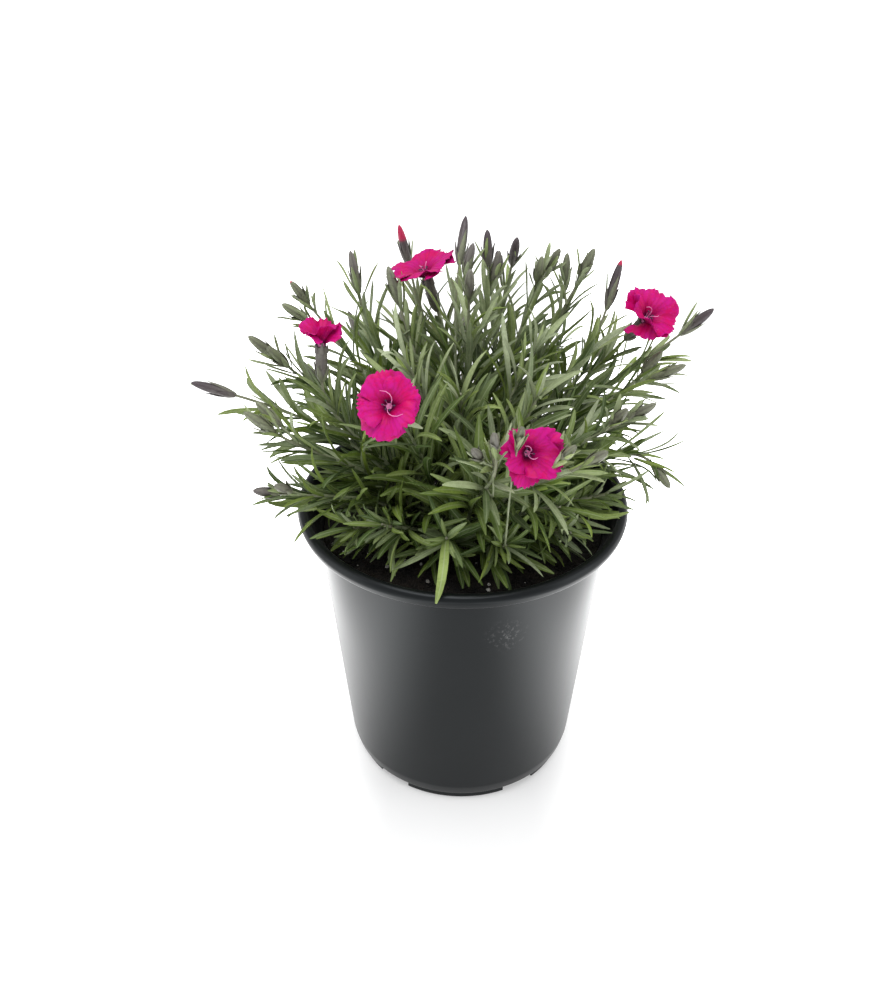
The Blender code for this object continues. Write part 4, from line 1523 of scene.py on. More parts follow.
def leaf_chain(chains, draw, leaf):
    """One leaf: the curve of the solid's leaf, made smooth, with a little sway and twist of its own."""
    share, root, ahead, out, length, spread, bend = leaf
    steps = LEAF_STEPS if length > SHORT_LEAF else SHORT_LEAF_STEPS
    across = ahead.cross(out)
    sway = draw.uniform(-LEAF_SWAY, LEAF_SWAY)
    twist = draw.uniform(-LEAF_TWIST, LEAF_TWIST)
    curl = draw.choice((0, 1)) * draw.uniform(*LEAF_HOOK)
    step = length / (LEAF_POINTS - 1)
    for play in (1, 0):
        points, ups = [root + out * 0.0004], []
        for index in range(LEAF_POINTS):
            along = (index + 0.5) / (LEAF_POINTS - 1)
            hook = play * curl * max(0, along - 0.55) ** 1.5
            angle = math.radians(spread - bend / (2 * steps) + bend * along + hook)
            way, up = opened(ahead, out, angle)
            way = way + across * (play * sway * (along - 0.3))
            ups.append(up * math.cos(twist * along) + across * math.sin(twist * along))
            points.append(points[-1] + way.normalized() * step)
        if within(points):
            break
    broad = LEAF_BREADTH[0] + (LEAF_BREADTH[1] - LEAF_BREADTH[0]) * share
    width = LEAF_WIDTH * broad * min(1.0, 0.6 + length / 0.1) * draw.uniform(*LEAF_DIFFERS)
    widths = [max(width / 2 * part, THINNEST) for part in LEAF_OUTLINE]
    # Tint rises with height and along the stem: painted light up high, painted shade low down, spread at
    # random.
    height = min(max((root.z - PAINTED_SHADE_HEIGHT) / (PAINTED_LIGHT_HEIGHT - PAINTED_SHADE_HEIGHT), 0.0), 1.0)
    tint = min(max(draw.gauss(0.02 + 0.30 * share**1.5 + 0.72 * height, 0.24), 0.0), 1.0)
    # How yellow-green a leaf is, drawn at random: young colour and painted light through the leaf.
    young_and_backlit = max(0.0, draw.gauss(0.24, 0.28))
    chains.add(points[:LEAF_POINTS], widths, ups, LEAF, tint, min(young_and_backlit, 0.9))


def placed_chains(chains, draw, kind, point, row):
    """A leaf or a thin stem with its bud, from a stem through the middle to the end of its row."""
    place, middle, end = (Vector(value) for value in row[:3])
    points = bezier(point, point.lerp(place, 0.8), middle, end, LEAF_POINTS - 1)
    if kind == "leaf":
        widths = [max(row[3] / 2 * part, THINNEST) for part in LEAF_OUTLINE]
        chains.add(points, widths, [Vector((0, -0.4, 1))] * LEAF_POINTS, LEAF, 0.75, row[4])
    else:
        chains.add(points, [0.00045] * LEAF_POINTS, upright(points), STALK, 1.0)
        bud_chain(chains, draw, end, (points[-1] - points[-2]).normalized(), row[3], 0.25)


print("leaf of", LEAF_POINTS, "points")

# %% Stem as a chain
STEM_POINTS = 18
STEM_SLIM = 0.72
KNUCKLE_SWELL = 0.35
KNUCKLE_TAPER = 22  # a knuckle ends after 1/22 of the stem's way on either side


def stem_chain(chains, stem):
    """The stem along the solid's curve, with a knuckle at each of its main pairs of leaves."""
    out, leave, arrive, head = stem.controls
    points = [stem.path[0]] + bezier(out, leave, arrive, head, STEM_POINTS)
    knuckles = {round(share, 2) for share, *_ in stem.leaves[:8]}
    widths = []
    for index in range(len(points)):
        share = max(index - 1, 0) / STEM_POINTS
        swell = max([1 - abs(share - knuckle) * KNUCKLE_TAPER for knuckle in knuckles] + [0])
        slim = STEM_RADIUS + (STEM_TIP_RADIUS - STEM_RADIUS) * share
        widths.append(slim * STEM_SLIM * (1 + KNUCKLE_SWELL * swell))
    chains.add(points, widths, upright(points), STALK, 0.5)


print("stem of", STEM_POINTS + 2, "points")

# %% Buds and bracts as chains
BUD_OUTLINE = (
    # share of the length, radius in millimetres
    (-0.06, 0.9),
    (0.03, 1.5),
    (0.14, 2.15),
    (0.30, 2.55),
    (0.50, 2.65),
    (0.68, 2.4),
    (0.82, 1.95),
    (0.92, 1.4),
    (1.0, 0.45),
)
BRACT_HALF_WIDTH = 0.0016
BRACT_OUTLINE = (0.7, 1.0, 0.95, 0.75, 0.42, 0.06)

# Length of the outer and the inner pair of bracts, as a share of the bud's
BRACT_SHARES = (0.52, 0.70)

# How many small leaves stand round a bud: dark buds stand nearly bare, green ones in a tuft. A bud
# whose tint is over DARK_TINT is dark.
TUFTS = {"dark": (1, 2), "green": (4, 5, 6)}
DARK_TINT = 0.9


def bud_chain(chains, draw, foot, way, length, tint, flush=0.0):
    """A spindle bud with two pairs of bracts clasped round its foot."""
    points = [foot + way * (length * share) for share, _ in BUD_OUTLINE]
    plump = draw.uniform(0.85, 1.0) * min(1.0, 0.6 + length / 0.04)
    widths = [radius * 0.001 * plump for _, radius in BUD_OUTLINE]
    chains.add(points, widths, upright(points), BUD, tint, flush)
    side = side_of(way, BUD_HINT)
    for index in range(4):
        out = turn_about(way, side, 90 * index + draw.uniform(-12, 12))
        reach = length * BRACT_SHARES[index % 2] * draw.uniform(0.9, 1.15)
        bract_chain(chains, draw, foot, way, out, reach, 0.0025 * plump, tint * draw.uniform(0.2, 0.9))
    count = draw.choice(TUFTS["dark" if tint > DARK_TINT else "green"])
    tuft_chains(chains, draw, foot, way, side, length, count)


def tuft_chains(chains, draw, foot, way, side, length, count):
    """The last small leaves, which stand up round a bud."""
    start = draw.uniform(0, 360)
    for index in range(count):
        turn = start + 90 * (index % 2) + 180 * (index // 2) + draw.uniform(-15, 15)
        out = turn_about(way, side, turn)
        size = min(max(length * draw.uniform(0.65, 1.25), 0.010), 0.021)
        spread = draw.uniform(10, 34)
        root = foot - way * (0.0012 + 0.0016 * index)
        leaf_chain(chains, draw, (0.9, root, way, out, size, spread, draw.uniform(-18, 12)))


def bract_chain(chains, draw, foot, way, out, reach, radius, tint):
    """A pointed scale that hugs a bud or a calyx and parts from it near its tip."""
    flare = draw.uniform(0.0004, 0.0022)
    points, ups, widths = [], [], []
    for index, part in enumerate(BRACT_OUTLINE):
        share = index / (len(BRACT_OUTLINE) - 1)
        away = radius * (0.35 + 0.75 * math.sin(min(share * 1.5, 1.0) * math.pi / 2)) + flare * share**3
        points.append(foot + way * (reach * (share - 0.08)) + out * away)
        ups.append(-out)
        widths.append(BRACT_HALF_WIDTH * part * min(1.0, reach / 0.007))
    chains.add(points, widths, ups, BRACT, tint)


print("bud outline of", len(BUD_OUTLINE), "rings")

# %% Calyx as chains
CALYX_OUTLINE = (
    # share of the length, radius in metres
    (-0.06, 0.0010),
    (0.05, 0.0020),
    (0.2, 0.0026),
    (0.45, 0.0029),
    (0.75, 0.0029),
    (0.97, 0.0027),
)
CALYX_TEETH = 5


def calyx_chain(chains, draw, stem):
    """The green tube below a bloom, its clasping bracts and the five teeth round its mouth."""
    foot, way = stem.head, stem.head_way
    points = [foot + way * (CALYX_LENGTH * share) for share, _ in CALYX_OUTLINE]
    tint = draw.uniform(0.3, 0.55)
    chains.add(points, [radius for _, radius in CALYX_OUTLINE], upright(points), BUD, tint)
    side = side_of(way, BUD_HINT)
    for index in range(4):
        out = turn_about(way, side, 90 * index + 20)
        bract_chain(chains, draw, foot, way, out, 0.0095, 0.0027, tint * 0.5)
    for index in range(CALYX_TEETH):
        out = turn_about(way, side, 72 * index)
        tip = foot + way * (CALYX_LENGTH + 0.0022) + out * 0.0034
        low = foot + way * (CALYX_LENGTH * 0.80) + out * 0.0028
        middle = foot + way * (CALYX_LENGTH * 0.96) + out * 0.0029
        chains.add([low, middle, tip], [0.0015, 0.0011, 0.0001], [-out] * 3, BRACT, tint)


print("calyx", 1000 * CALYX_LENGTH, "mm")

# %% Make the leafy stems
# How far the red of the petals shows at a bud's tip
FLUSHED = {"bud_stem_01": 1.0, "bud_stem_08": 0.68, "bud_stem_15": 0.58}
DARK_BUDS = [f"bud_stem_{number:02d}" for number in (1, 2, 3, 5, 8, 9, 13)]


def make_leafy_stem(stem, draw):
    """The finer piece of one stem."""
    chains = Chains()
    stem_chain(chains, stem)
    for leaf in stem.leaves:
        leaf_chain(chains, draw, leaf)
    if stem.petals:
        calyx_chain(chains, draw, stem)
    if stem.buds:
        dark = 0.95 if stem.name in DARK_BUDS else draw.uniform(0.1, 0.6)
        bud_chain(chains, draw, stem.head, stem.head_way, stem.buds[0], dark, FLUSHED.get(stem.name, 0.0))
        if stem.buds[1]:
            branch, foot, way = stem.side
            chains.add(branch, [0.0007] * 3, upright(branch), STALK, 0.5)
            bud_chain(chains, draw, foot, way, stem.buds[1], dark * draw.uniform(0.5, 1.0))
    for kind, point, row in placed.get(stem.name, ()):
        placed_chains(chains, draw, kind, point, row)
    piece = sweep_piece(stem.name + "_grown", chains)
    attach(piece, "root")
    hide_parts(stem.name)
    return piece


form_draw = random.Random(SEED + 1)
faces = 0
for stem in stems:
    faces += len(make_leafy_stem(stem, form_draw).data.polygons)
print("leafy stems:", len(stems), "faces:", faces)

# %% [markdown]
# ## Blooms
#
# A petal is a fan on a narrow claw. Its outer edge is cut into small uneven teeth, the fan is ruffled,
# and one side lies over the next petal while the other lies under it. Each petal is a grid of points
# worked out by formula on both faces, because the teeth and ruffles follow the fan's own coordinates.

# %% Petals
PETAL_ROWS = 22
PETAL_COLUMNS = 36
FINE_TEETH = 9
FINE_TOOTH = 0.0016
PETAL_FORMS = {
    # bloom: size, half width as a share of the length, roundness, ruffle in metres, unevenness in degrees
    1: (1.10, 0.88, 1.4, 0.0009, 2),
    2: (1.00, 0.72, 2.4, 0.0013, 8),
    3: (1.00, 0.70, 3.4, 0.0012, 13),
    4: (1.06, 0.54, 4.2, 0.0013, 9),
    5: (1.03, 0.78, 3.0, 0.0019, 14),
}
FINE_THICKNESS = 0.0003


def petal_midrib(start, end, length):
    """Distances out and up along a petal, and its angle, at each row."""
    out = up = 0.0
    rows = [(0.0, 0.0, start)]
    for row in range(1, PETAL_ROWS):
        share = (row - 0.5) / (PETAL_ROWS - 1)
        open_share = 1 / (1 + math.exp(-(share - CLAW_SHARE) * 14))
        angle = start + (end - start) * open_share
        out += math.sin(angle) * length / (PETAL_ROWS - 1)
        up += math.cos(angle) * length / (PETAL_ROWS - 1)
        rows.append((out, up, angle))
    return rows


class PetalForm:
    """The draws that make one petal differ from the next."""

    def __init__(self, draw, length, form):
        size, self.spread, self.lobe, self.ruffle, uneven = form
        self.length = size * length * draw.uniform(0.88, 1.08)
        self.lift = PETAL_LIFT * draw.uniform(0.15, 0.4 + 0.12 * uneven)
        self.fold = 0.03 * draw.uniform(-uneven, uneven)
        self.opening = draw.uniform(-uneven, uneven)
        self.phases = [draw.uniform(0, 2 * math.pi) for _ in range(3)]
        self.ragged = [draw.uniform(0.45, 1.35) for _ in range(FINE_TEETH + 1)]
        self.curl = 0.07 * draw.uniform(-uneven, 0.8 * uneven)
        self.roll = 0.022 * draw.uniform(-uneven, uneven)
        self.waves = draw.uniform(0.7, 1.4)

    def tooth(self, v):
        """How deep the edge is cut at this place across, from 0 at a tooth's tip."""
        slot = (v + 1) / 2 * FINE_TEETH + 0.4 * math.sin(6 * v + self.phases[0]) + 0.5
        return abs((slot % 1) - 0.5) * 2 * self.ragged[int(min(max(slot, 0), FINE_TEETH))]

    def wave(self, u, v):
        """The ruffle of the fan at this place along and across."""
        first, second, third = self.phases
        height = math.sin(2.6 * v + first) + 0.7 * math.sin(6.0 * v + second + 2 * u)
        return self.waves * (height + 0.35 * math.sin(12 * v + third))


def petal_mesh(work, layers, centre, way, turn, opening, form):
    """Adds one closed petal, with how far along and across each point lies."""
    out = turn_about(way, side_of(way, PETAL_HINT), turn)
    across = way.cross(out)
    length = form.length
    opening += form.opening
    midrib = petal_midrib(math.radians(opening * CLAW_OPENING), math.radians(opening), length)
    faces_of = ([], [])
    for row, (reach, rise, angle) in enumerate(midrib):
        u = row / (PETAL_ROWS - 1)
        half = PETAL_ROOT / 2 + (form.spread * length - PETAL_ROOT / 2) * u**0.95
        ahead, normal = opened(way, out, angle)
        for column in range(PETAL_COLUMNS + 1):
            v = 2 * column / PETAL_COLUMNS - 1
            tooth = FINE_TOOTH * form.tooth(v) * max(0.0, (u - 0.80) / 0.20) ** 1.5
            back = PETAL_ROUNDING * (half / form.spread) * abs(v) ** 2.8 * form.lobe + tooth
            height = form.lift * half * v + form.roll * half * v * v + form.fold * half * abs(v) * u
            height += form.wave(u, v) * form.ruffle * u**2.2
            height += form.curl * length * max(0.0, u - 0.6) ** 2
            place = centre + out * (PETAL_ROOT + reach) + way * rise + across * (half * v) - ahead * back
            place += normal * height
            for face, sign in zip(faces_of, (1, -1)):
                corner = work.verts.new(place + normal * (sign * FINE_THICKNESS / 2))
                corner[layers["along"]] = u
                corner[layers["across"]] = v
                face.append(corner)
    close_sheet(work, faces_of)


def close_sheet(work, faces_of):
    """Faces on both sides of a grid of corners and round its rim."""
    wide = PETAL_COLUMNS + 1
    top, bottom = faces_of
    for row in range(PETAL_ROWS - 1):
        for column in range(PETAL_COLUMNS):
            a = row * wide + column
            work.faces.new((top[a], top[a + 1], top[a + wide + 1], top[a + wide]))
            work.faces.new((bottom[a + wide], bottom[a + wide + 1], bottom[a + 1], bottom[a]))
    last = (PETAL_ROWS - 1) * wide
    rim = list(range(wide)) + [wide * row + wide - 1 for row in range(1, PETAL_ROWS)]
    rim += [last + column for column in reversed(range(wide - 1))]
    rim += [wide * row for row in reversed(range(1, PETAL_ROWS - 1))]
    for a, b in zip(rim, rim[1:] + rim[:1]):
        work.faces.new((top[b], top[a], bottom[a], bottom[b]))


print("petal grid", PETAL_ROWS, "by", PETAL_COLUMNS + 1)

# %% Styles and stamens
# How far the styles reach out of each bloom, as a share of its petals' length
STYLE_REACH = {1: 0.2, 2: 0.2, 3: 0.44, 4: 0.24, 5: 0.24}
STYLE_STEPS = 8
STAMENS = 6


def bloom_heart(index, chains, draw, stem):
    """Two curled styles and a ring of small dark anthers in the throat."""
    way = stem.head_way
    side = side_of(way, PETAL_HINT)
    foot = stem.head + way * (CALYX_LENGTH + 0.001)
    length = stem.petals[0]
    reach = length * STYLE_REACH[index]
    for style in range(2):
        out = turn_about(way, side, 150 * style + 75)
        points = []
        for step in range(STYLE_STEPS + 1):
            share = step / STYLE_STEPS
            swung = Matrix.Rotation(1.5 * share * share, 3, way) @ out
            points.append(foot + way * (length * 0.42 * math.sin(share * 1.9)) + swung * (reach * share**1.4))
        widths = [0.00017] * STYLE_STEPS + [0.0001]
        chains.add(points, widths, upright(points), STYLE, 0.0)
    for stamen in range(STAMENS):
        out = turn_about(way, side, 60 * stamen + draw.uniform(-15, 15))
        end = foot + way * (length * draw.uniform(0.22, 0.32)) + out * (length * draw.uniform(0.08, 0.16))
        chains.add([foot + out * 0.0006, end], [0.00016, 0.00016], [side] * 2, STYLE, 0.35)
        knob = [end - out * 0.0005, end, end + out * 0.0005]
        chains.add(knob, [0.0002, 0.00042, 0.0002], [way] * 3, STYLE, 1.0)


print("stamens in each bloom:", STAMENS)

# %% How each bloom stands open
# Blooms whose petals all open to one angle
FLAT_BLOOMS = {1: 86}
FOLDS = {
    # bloom: direction in the photograph in degrees, how far its petals close, how wide the fold is
    3: ((-20, -16, 60), (60, 10, 50)),
    4: ((175, -22, 75), (-80, 26, 55)),
    5: ((-150, -14, 80), (40, -14, 60)),
}
PARTINGS = {
    # bloom: direction of a gap in the photograph, how far petals turn aside, how wide it reaches
    3: (12, 14, 80),
    4: (108, 26, 95),
}


def seen_from(stem, turn, middle):
    """How far a petal points from a direction in the photograph, from -180 to 180 degrees."""
    side = side_of(stem.head_way, PETAL_HINT)
    out = Matrix.Rotation(math.radians(turn), 3, stem.head_way) @ side
    lift = Vector((0, math.sin(CAMERA_PITCH), math.cos(CAMERA_PITCH)))
    return (math.degrees(math.atan2(out.dot(lift), out.x)) - middle + 180) % 360 - 180


def folded(index, stem, turn, opening):
    """The opening of a petal of a bloom that the photograph shows flat or partly folded."""
    opening = FLAT_BLOOMS.get(index, opening)
    for middle, change, width in FOLDS.get(index, ()):
        opening += change * max(0.0, 1 - abs(seen_from(stem, turn, middle)) / width)
    return opening


def parted(index, stem, turn):
    """The turn of a petal, moved aside where the photograph shows a gap between petals."""
    middle, aside, width = PARTINGS.get(index, (0, 0, 1))
    apart = seen_from(stem, turn, middle)
    return turn + math.copysign(aside, apart) * max(0.0, 1 - abs(apart) / width)


print("blooms with folds:", list(FOLDS), "with a gap:", list(PARTINGS))

# %% Make the blooms
def join_meshes(name, meshes):
    """One mesh of several, with their finishes kept."""
    holders = [add_object(f"{name}_{index}", mesh) for index, mesh in enumerate(meshes)]
    chosen = {"active_object": holders[0], "object": holders[0]}
    chosen.update({"selected_objects": holders, "selected_editable_objects": holders})
    with bpy.context.temp_override(**chosen):
        bpy.ops.object.join()
    holders[0].name = name
    return holders[0]


def make_corolla(index, stem, draw):
    """The finer piece of one corolla: its petals, the tube in the calyx, styles and stamens."""
    top = stem.head + stem.head_way * CALYX_LENGTH
    centre = top + stem.head_way * THROAT_RISE
    work = bmesh.new()
    layers = {name: work.verts.layers.float.new(name) for name in ("along", "across")}
    for turn, opening in stem.petal_turns:
        form = PetalForm(draw, stem.petals[0], PETAL_FORMS[index])
        opening = folded(index, stem, turn, opening)
        petal_mesh(work, layers, centre, stem.head_way, parted(index, stem, turn), opening, form)
    bmesh.ops.recalc_face_normals(work, faces=work.faces)
    mesh = bpy.data.meshes.new(f"petals_{index}")
    work.to_mesh(mesh)
    work.free()
    mesh.materials.append(petal_finish)
    mesh.shade_smooth()
    chains = Chains()
    bloom_heart(index, chains, draw, stem)
    throat = [top - stem.head_way * (SOCKET_DEPTH - CLEARANCE), top, centre + stem.head_way * 0.0016]
    chains.add(throat, [0.0016, 0.0016, 0.0013], upright(throat), STYLE, 0.3)
    heart = sweep_piece(f"heart_{index}", chains)
    heart_mesh = heart.data
    bpy.data.objects.remove(heart, do_unlink=True)
    piece = join_meshes(f"corolla_{index}_open", [mesh, heart_mesh])
    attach(piece, "root")
    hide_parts(f"corolla_{index}")
    return piece


petal_draw = random.Random(SEED + 2)
for index, stem in enumerate([stem for stem in stems if stem.petals]):
    piece = make_corolla(index + 1, stem, petal_draw)
    print(piece.name, len(piece.data.polygons), "faces")

# %% [markdown]
# ## The pot
#
# The real pot is one turned moulding: a rolled rim, a short neck, a long tapering wall and a soft turn
# under to a thin foot ring. A profile turned round the axis gives it exactly, with the corners of the
# solid's outline rounded off as plastic is. Blocks cut the gaps in the foot ring and the drain holes.

# %% Pot plastic
PLASTIC_DARK = (0.0030, 0.0036, 0.0040)
PLASTIC_WORN = (0.0070, 0.0078, 0.0086)
PLASTIC_GLOSS = (0.90, 0.97, 1.0, 1.0)
SCUFF_AND_GLINT_GREY = (0.16, 0.16, 0.16)
# The first spot is a real pale scuff on the wall; the other two are painted glints just under the rim.
SCUFFS_AND_PAINTED_GLINTS = (
    # place, radius
    ((0.021, -0.071, 0.122), 0.014),
    ((-0.0525, -0.0626, 0.147), 0.007),
    ((0.0515, -0.0635, 0.147), 0.006),
)


def make_plastic():
    """Dark grey moulded plastic, softly glossy, with a faint pale scuff and two painted glints under the rim.
    """
    material, wiring, shader = new_finish("pot_plastic")
    place = wiring.place()
    tone = wiring.add("ShaderNodeTexNoise", {"Vector": place, "Scale": 16.0, "Detail": 1.0}).outputs["Fac"]
    worn = wiring.blend(tone, PLASTIC_DARK, PLASTIC_WORN)
    near_spot = None
    for spot, radius in SCUFFS_AND_PAINTED_GLINTS:
        apart = wiring.add("ShaderNodeVectorMath", {0: place, 1: spot}, operation="DISTANCE").outputs["Value"]
        patch = wiring.fit(apart, 0.0, radius, 1.0, 0.0)
        near_spot = patch if near_spot is None else wiring.maths("MAXIMUM", near_spot, patch)
    inputs = {"Vector": place, "Scale": 420.0, "Detail": 4.0, "Roughness": 0.75}
    grain = wiring.add("ShaderNodeTexNoise", inputs)
    flecks = wiring.fit(grain.outputs["Fac"], 0.52, 0.66)
    # Pale flecks in the spots: a real scuff, and two painted glints under the rim.
    scuff_and_glint = wiring.maths("MULTIPLY", near_spot, flecks)
    scuffed_and_glinted = wiring.blend(wiring.maths("MULTIPLY", scuff_and_glint, 0.6), worn, SCUFF_AND_GLINT_GREY)
    rough = wiring.maths("ADD", wiring.fit(tone, 0, 1, 0.27, 0.32), wiring.maths("MULTIPLY", scuff_and_glint, 0.3))
    dress(wiring, shader, scuffed_and_glinted, rough)
    shader.inputs["Specular IOR Level"].default_value = 0.21
    shader.inputs["Specular Tint"].default_value = PLASTIC_GLOSS
    shader.inputs["Sheen Weight"].default_value = 0.06
    shader.inputs["Sheen Roughness"].default_value = 0.22
    fine = wiring.add("ShaderNodeTexNoise", {"Vector": place, "Scale": 900.0, "Detail": 2.0})
    bump(wiring, shader, fine.outputs["Fac"], 0.015, 0.0002)
    return material


plastic = make_plastic()
print("finish:", plastic.name)

# %% Pot
FINE_SEGMENTS = 144
CORNER_ROUND = 0.0009
CORNER_STEPS = 3


def rounded(profile):
    """The outline with each inner corner replaced by a short arc."""
    points = [Vector(point) for point in profile]
    result = [points[0]]
    for before, corner, after in zip(points, points[1:], points[2:]):
        back, ahead = before - corner, after - corner
        cut = min(CORNER_ROUND, back.length * 0.42, ahead.length * 0.42)
        start, end = corner + back.normalized() * cut, corner + ahead.normalized() * cut
        for step in range(CORNER_STEPS + 1):
            t = step / CORNER_STEPS
            result.append(start * (1 - t) ** 2 + corner * (2 * t * (1 - t)) + end * t**2)
    result.append(points[-1])
    return [(point.x, point.y) for point in result]


def plain_object(name, shape):
    """A mesh object of one closed shape, faces outwards."""
    mesh = bpy.data.meshes.new(name)
    mesh.from_pydata([tuple(v) for v in shape[0]], [], shape[1])
    face_outwards(mesh)
    return add_object(name, mesh)


def foot_gap_turns():
    """The angles of the gaps in the foot ring."""
    return [math.radians(FOOT_GAP_START + 360 * index / FOOT_GAPS) for index in range(FOOT_GAPS)]


def box(centre, along, half_along, half_across, low, high):
    """An upright box with its length turned along a flat direction."""
    across = Vector((-along.y, along.x, 0))
    verts = []
    for height in (low, high):
        for a, b in ((-1, -1), (1, -1), (1, 1), (-1, 1)):
            corner = centre + along * (a * half_along) + across * (b * half_across)
            verts.append(Vector((corner.x, corner.y, height)))
    faces = [(3, 2, 1, 0), (4, 5, 6, 7), (0, 1, 5, 4), (1, 2, 6, 5), (2, 3, 7, 6), (3, 0, 4, 7)]
    return verts, faces


def make_pot():
    """The finer pot."""
    pot = plain_object("pot_moulding", lathe(rounded(pot_profile()), FINE_SEGMENTS))
    for index, turn in enumerate(foot_gap_turns()):
        out = Vector((math.cos(turn), math.sin(turn), 0))
        ring = out * (FOOT_RADIUS - FOOT_WIDTH / 2)
        hole = out * DRAIN_CIRCLE
        ends = [Vector((hole.x, hole.y, -0.002)), Vector((hole.x, hole.y, FOOT_HEIGHT + WALL + 0.002))]
        block = box(ring, out, FOOT_WIDTH, FOOT_GAP_WIDTH / 2, -0.001, FOOT_HEIGHT - 0.0004)
        for kind, shape in (("gap", block), ("drain", tube(ends, [DRAIN_RADIUS] * 2, 24))):
            cutter = plain_object(f"{kind}_{index}", shape)
            cut = pot.modifiers.new(kind, "BOOLEAN")
            cut.operation = "DIFFERENCE"
            cut.solver = "EXACT"
            cut.object = cutter
            with bpy.context.temp_override(object=pot, active_object=pot, selected_objects=[pot]):
                bpy.ops.object.modifier_apply(modifier=cut.name)
            bpy.data.objects.remove(cutter, do_unlink=True)
    pot.data.materials.clear()
    pot.data.materials.append(plastic)
    pot.data.shade_smooth()
    pot.data.set_sharp_from_angle(angle=math.radians(40))
    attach(pot, "root")
    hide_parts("pot")
    return pot


pot = make_pot()
print("pot faces:", len(pot.data.polygons))

# %% [markdown]
# ## The soil
#
# Potting compost is dark, damp and crumbly, with white grains of perlite. The surface is a disc of
# rings whose height follows noise in two sizes, closed below by the plain outline of the solid. A
# second Geometry Nodes tree scatters crumbs and perlite over it.

# %% Soil and perlite finishes
SOIL_DARK = (0.0035, 0.0028, 0.0022)
SOIL_BROWN = (0.022, 0.016, 0.011)
PERLITE_WHITE = (0.72, 0.71, 0.67)
PERLITE_DUSTY = (0.42, 0.40, 0.36)


def make_soil_finish():
    """Nearly black compost with brown fibres."""
    material, wiring, shader = new_finish("compost")
    tone = mottle(wiring, 160.0, 1100.0)
    dress(wiring, shader, wiring.blend(tone, SOIL_DARK, SOIL_BROWN), 0.92)
    bump(wiring, shader, tone, 0.8, 0.0012)
    return material


def make_perlite_finish():
    """White, slightly dusty grains."""
    material, wiring, shader = new_finish("perlite")
    tone = mottle(wiring, 300.0, 1500.0)
    dress(wiring, shader, wiring.blend(tone, PERLITE_WHITE, PERLITE_DUSTY), 0.8)
    return material


compost = make_soil_finish()
perlite = make_perlite_finish()
print("finishes:", compost.name, perlite.name)

# %% Soil surface
SOIL_RINGS = 46
SOIL_SPOKES = 150
LUMP = 0.0016  # height of one lump


def plain_height(radius, edge):
    """Height of the solid's surface at a radius: flat round the crown and lower towards the edge."""
    share = min(1.0, (edge - radius) / (edge - soil_profile()[4][0]))
    return SOIL_TOP - SOIL_EDGE_DROP * (1 - share)


def soil_height(x, y):
    """Height of the lumps over the solid's surface, about one lump either way at most."""
    broad = noise.noise(Vector((x * 70, y * 70, 3.1)))
    fine = noise.noise(Vector((x * 320, y * 320, 9.4)))
    return LUMP * (0.7 * broad + 0.45 * fine)


def make_soil():
    """The finer soil: the solid's sides and floor under a lumpy surface."""
    outline = soil_profile()
    edge = outline[3][0]
    profile = list(outline[:4])
    for ring in range(1, SOIL_RINGS):
        radius = edge * (1 - ring / SOIL_RINGS)
        profile.append((radius, plain_height(radius, edge)))
    profile.append((0, SOIL_TOP))
    verts, faces = lathe(profile, SOIL_SPOKES)
    for vert in verts:
        if vert.z > 0.1 and vert.xy.length < edge - 0.0005:
            vert.z += soil_height(vert.x, vert.y)
    soil = plain_object("soil_surface", (verts, faces))
    soil.data.materials.append(compost)
    soil.data.shade_smooth()
    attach(soil, "root")
    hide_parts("soil")
    return soil


soil = make_soil()
print("soil faces:", len(soil.data.polygons))

# %% Crumbs and perlite
BED_RINGS = 24
BED_SPOKES = 72
BED_MARGIN = 0.0022


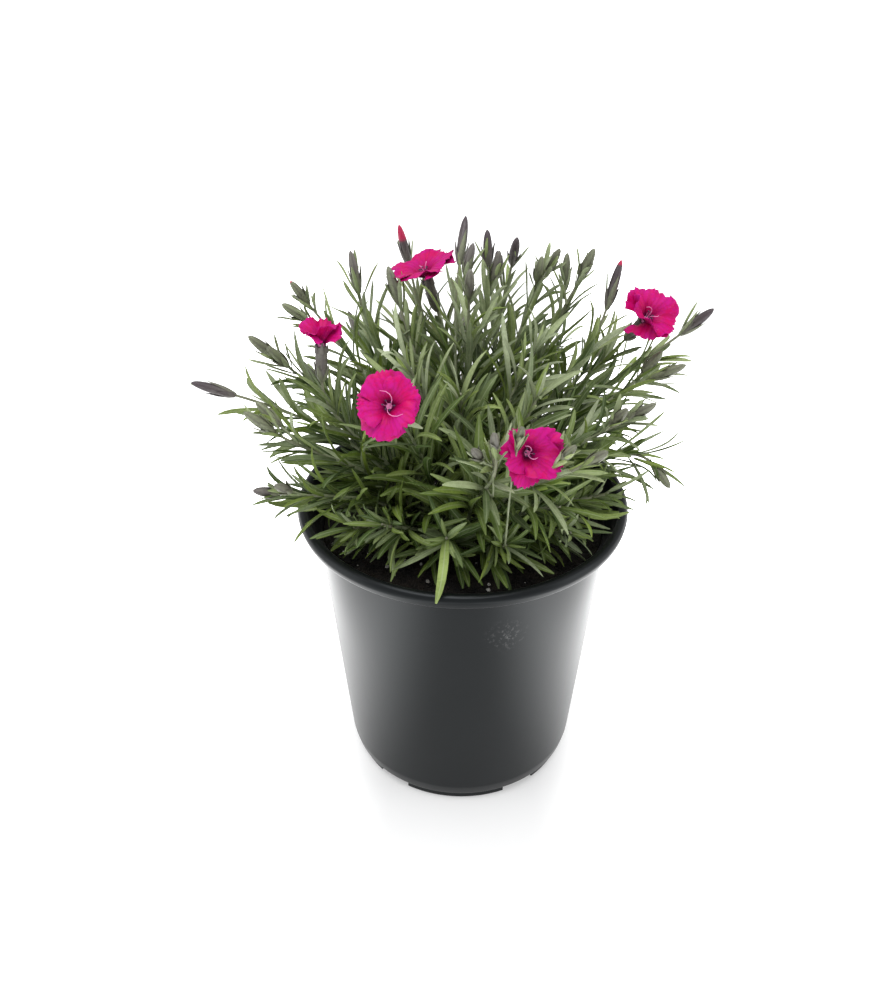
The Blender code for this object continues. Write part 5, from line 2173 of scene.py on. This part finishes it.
def make_scatter_tree():
    """Grains scattered over a surface: their number, size and seed are inputs."""
    tree = bpy.data.node_groups.new("scattered_grains", "GeometryNodeTree")
    geometry = ("Geometry", "Geometry", None)
    inputs = [geometry, ("Grain", "Object", None)]
    inputs += [(name, "Float", None) for name in ("Density", "Smallest", "Largest")]
    inputs += [("Seed", "Int", None), ("Finish", "Material", None)]
    declare(tree, inputs, (geometry,))
    wiring = Wiring(tree)
    source = wiring.add("NodeGroupInput").outputs
    sink = wiring.add("NodeGroupOutput")
    inputs = {"Mesh": source["Geometry"], "Density": source["Density"], "Seed": source["Seed"]}
    spots = wiring.add("GeometryNodeDistributePointsOnFaces", inputs, distribute_method="RANDOM")
    inputs = {2: source["Smallest"], 3: source["Largest"], "Seed": source["Seed"]}
    size = wiring.add("FunctionNodeRandomValue", inputs, data_type="FLOAT").outputs[1]
    inputs = {1: (2 * math.pi,) * 3, "Seed": source["Seed"]}
    turn = wiring.add("FunctionNodeRandomValue", inputs, data_type="FLOAT_VECTOR").outputs[0]
    grain = wiring.add("GeometryNodeObjectInfo", {"Object": source["Grain"]}).outputs["Geometry"]
    inputs = {"Points": spots.outputs["Points"], "Instance": grain, "Scale": size, "Rotation": turn}
    placed = wiring.add("GeometryNodeInstanceOnPoints", inputs).outputs["Instances"]
    real = wiring.add("GeometryNodeRealizeInstances", {"Geometry": placed}).outputs[0]
    done = wiring.add("GeometryNodeSetMaterial", {"Geometry": real, "Material": source["Finish"]}).outputs[0]
    wiring.feed(done, sink.inputs[0])
    return tree


SCATTER = make_scatter_tree()
print("tree", SCATTER.name)


def make_grain(name, seed):
    """One uneven grain of radius 1."""
    mesh = bpy.data.meshes.new(name)
    work = bmesh.new()
    bmesh.ops.create_icosphere(work, subdivisions=1, radius=1.0)
    for corner in work.verts:
        corner.co *= 0.8 + 0.45 * noise.noise(corner.co * 1.7 + Vector((seed, 0, 0)))
    work.to_mesh(mesh)
    work.free()
    return bpy.data.objects.new(name, mesh)


def scatter_bed():
    """The part of the soil's surface that grains lie on, as a thin sheet."""
    verts = []
    edge = soil_profile()[3][0] - BED_MARGIN
    for ring in range(BED_RINGS + 1):
        for spoke in range(BED_SPOKES):
            turn = 2 * math.pi * spoke / BED_SPOKES
            radius = edge * (0.05 + 0.95 * ring / BED_RINGS)
            x, y = radius * math.cos(turn), radius * math.sin(turn)
            verts.append((x, y, plain_height(radius, edge) + soil_height(x, y)))
    faces = [(a, d, c, b) for a, b, c, d in faces_between(BED_RINGS + 1, BED_SPOKES)]
    mesh = bpy.data.meshes.new("bed")
    mesh.from_pydata(verts, [], faces)
    return mesh


def scatter(name, density, smallest, largest, seed, finish):
    """A piece of grains spread over the soil."""
    grain = make_grain(name + "_grain", seed)
    values = {"Grain": grain, "Density": density, "Smallest": smallest, "Largest": largest}
    values.update({"Seed": seed, "Finish": finish})
    piece = run_tree(name, scatter_bed(), SCATTER, values)
    bpy.data.objects.remove(grain, do_unlink=True)
    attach(piece, "root")
    return piece


crumbs = scatter("soil_crumbs", 90000.0, 0.0005, 0.0014, 3, compost)
white_grains = scatter("perlite_grains", 5200.0, 0.0004, 0.0016, 8, perlite)
print("crumb faces:", len(crumbs.data.polygons), "perlite faces:", len(white_grains.data.polygons))

# %% [markdown]
# ## Clearing up
#
# The box of the whole model is printed once, at load. The sections that the sweeps read are removed here.

# %% Finish
for section in (gutter, ribbed):
    bpy.data.objects.remove(section, do_unlink=True)
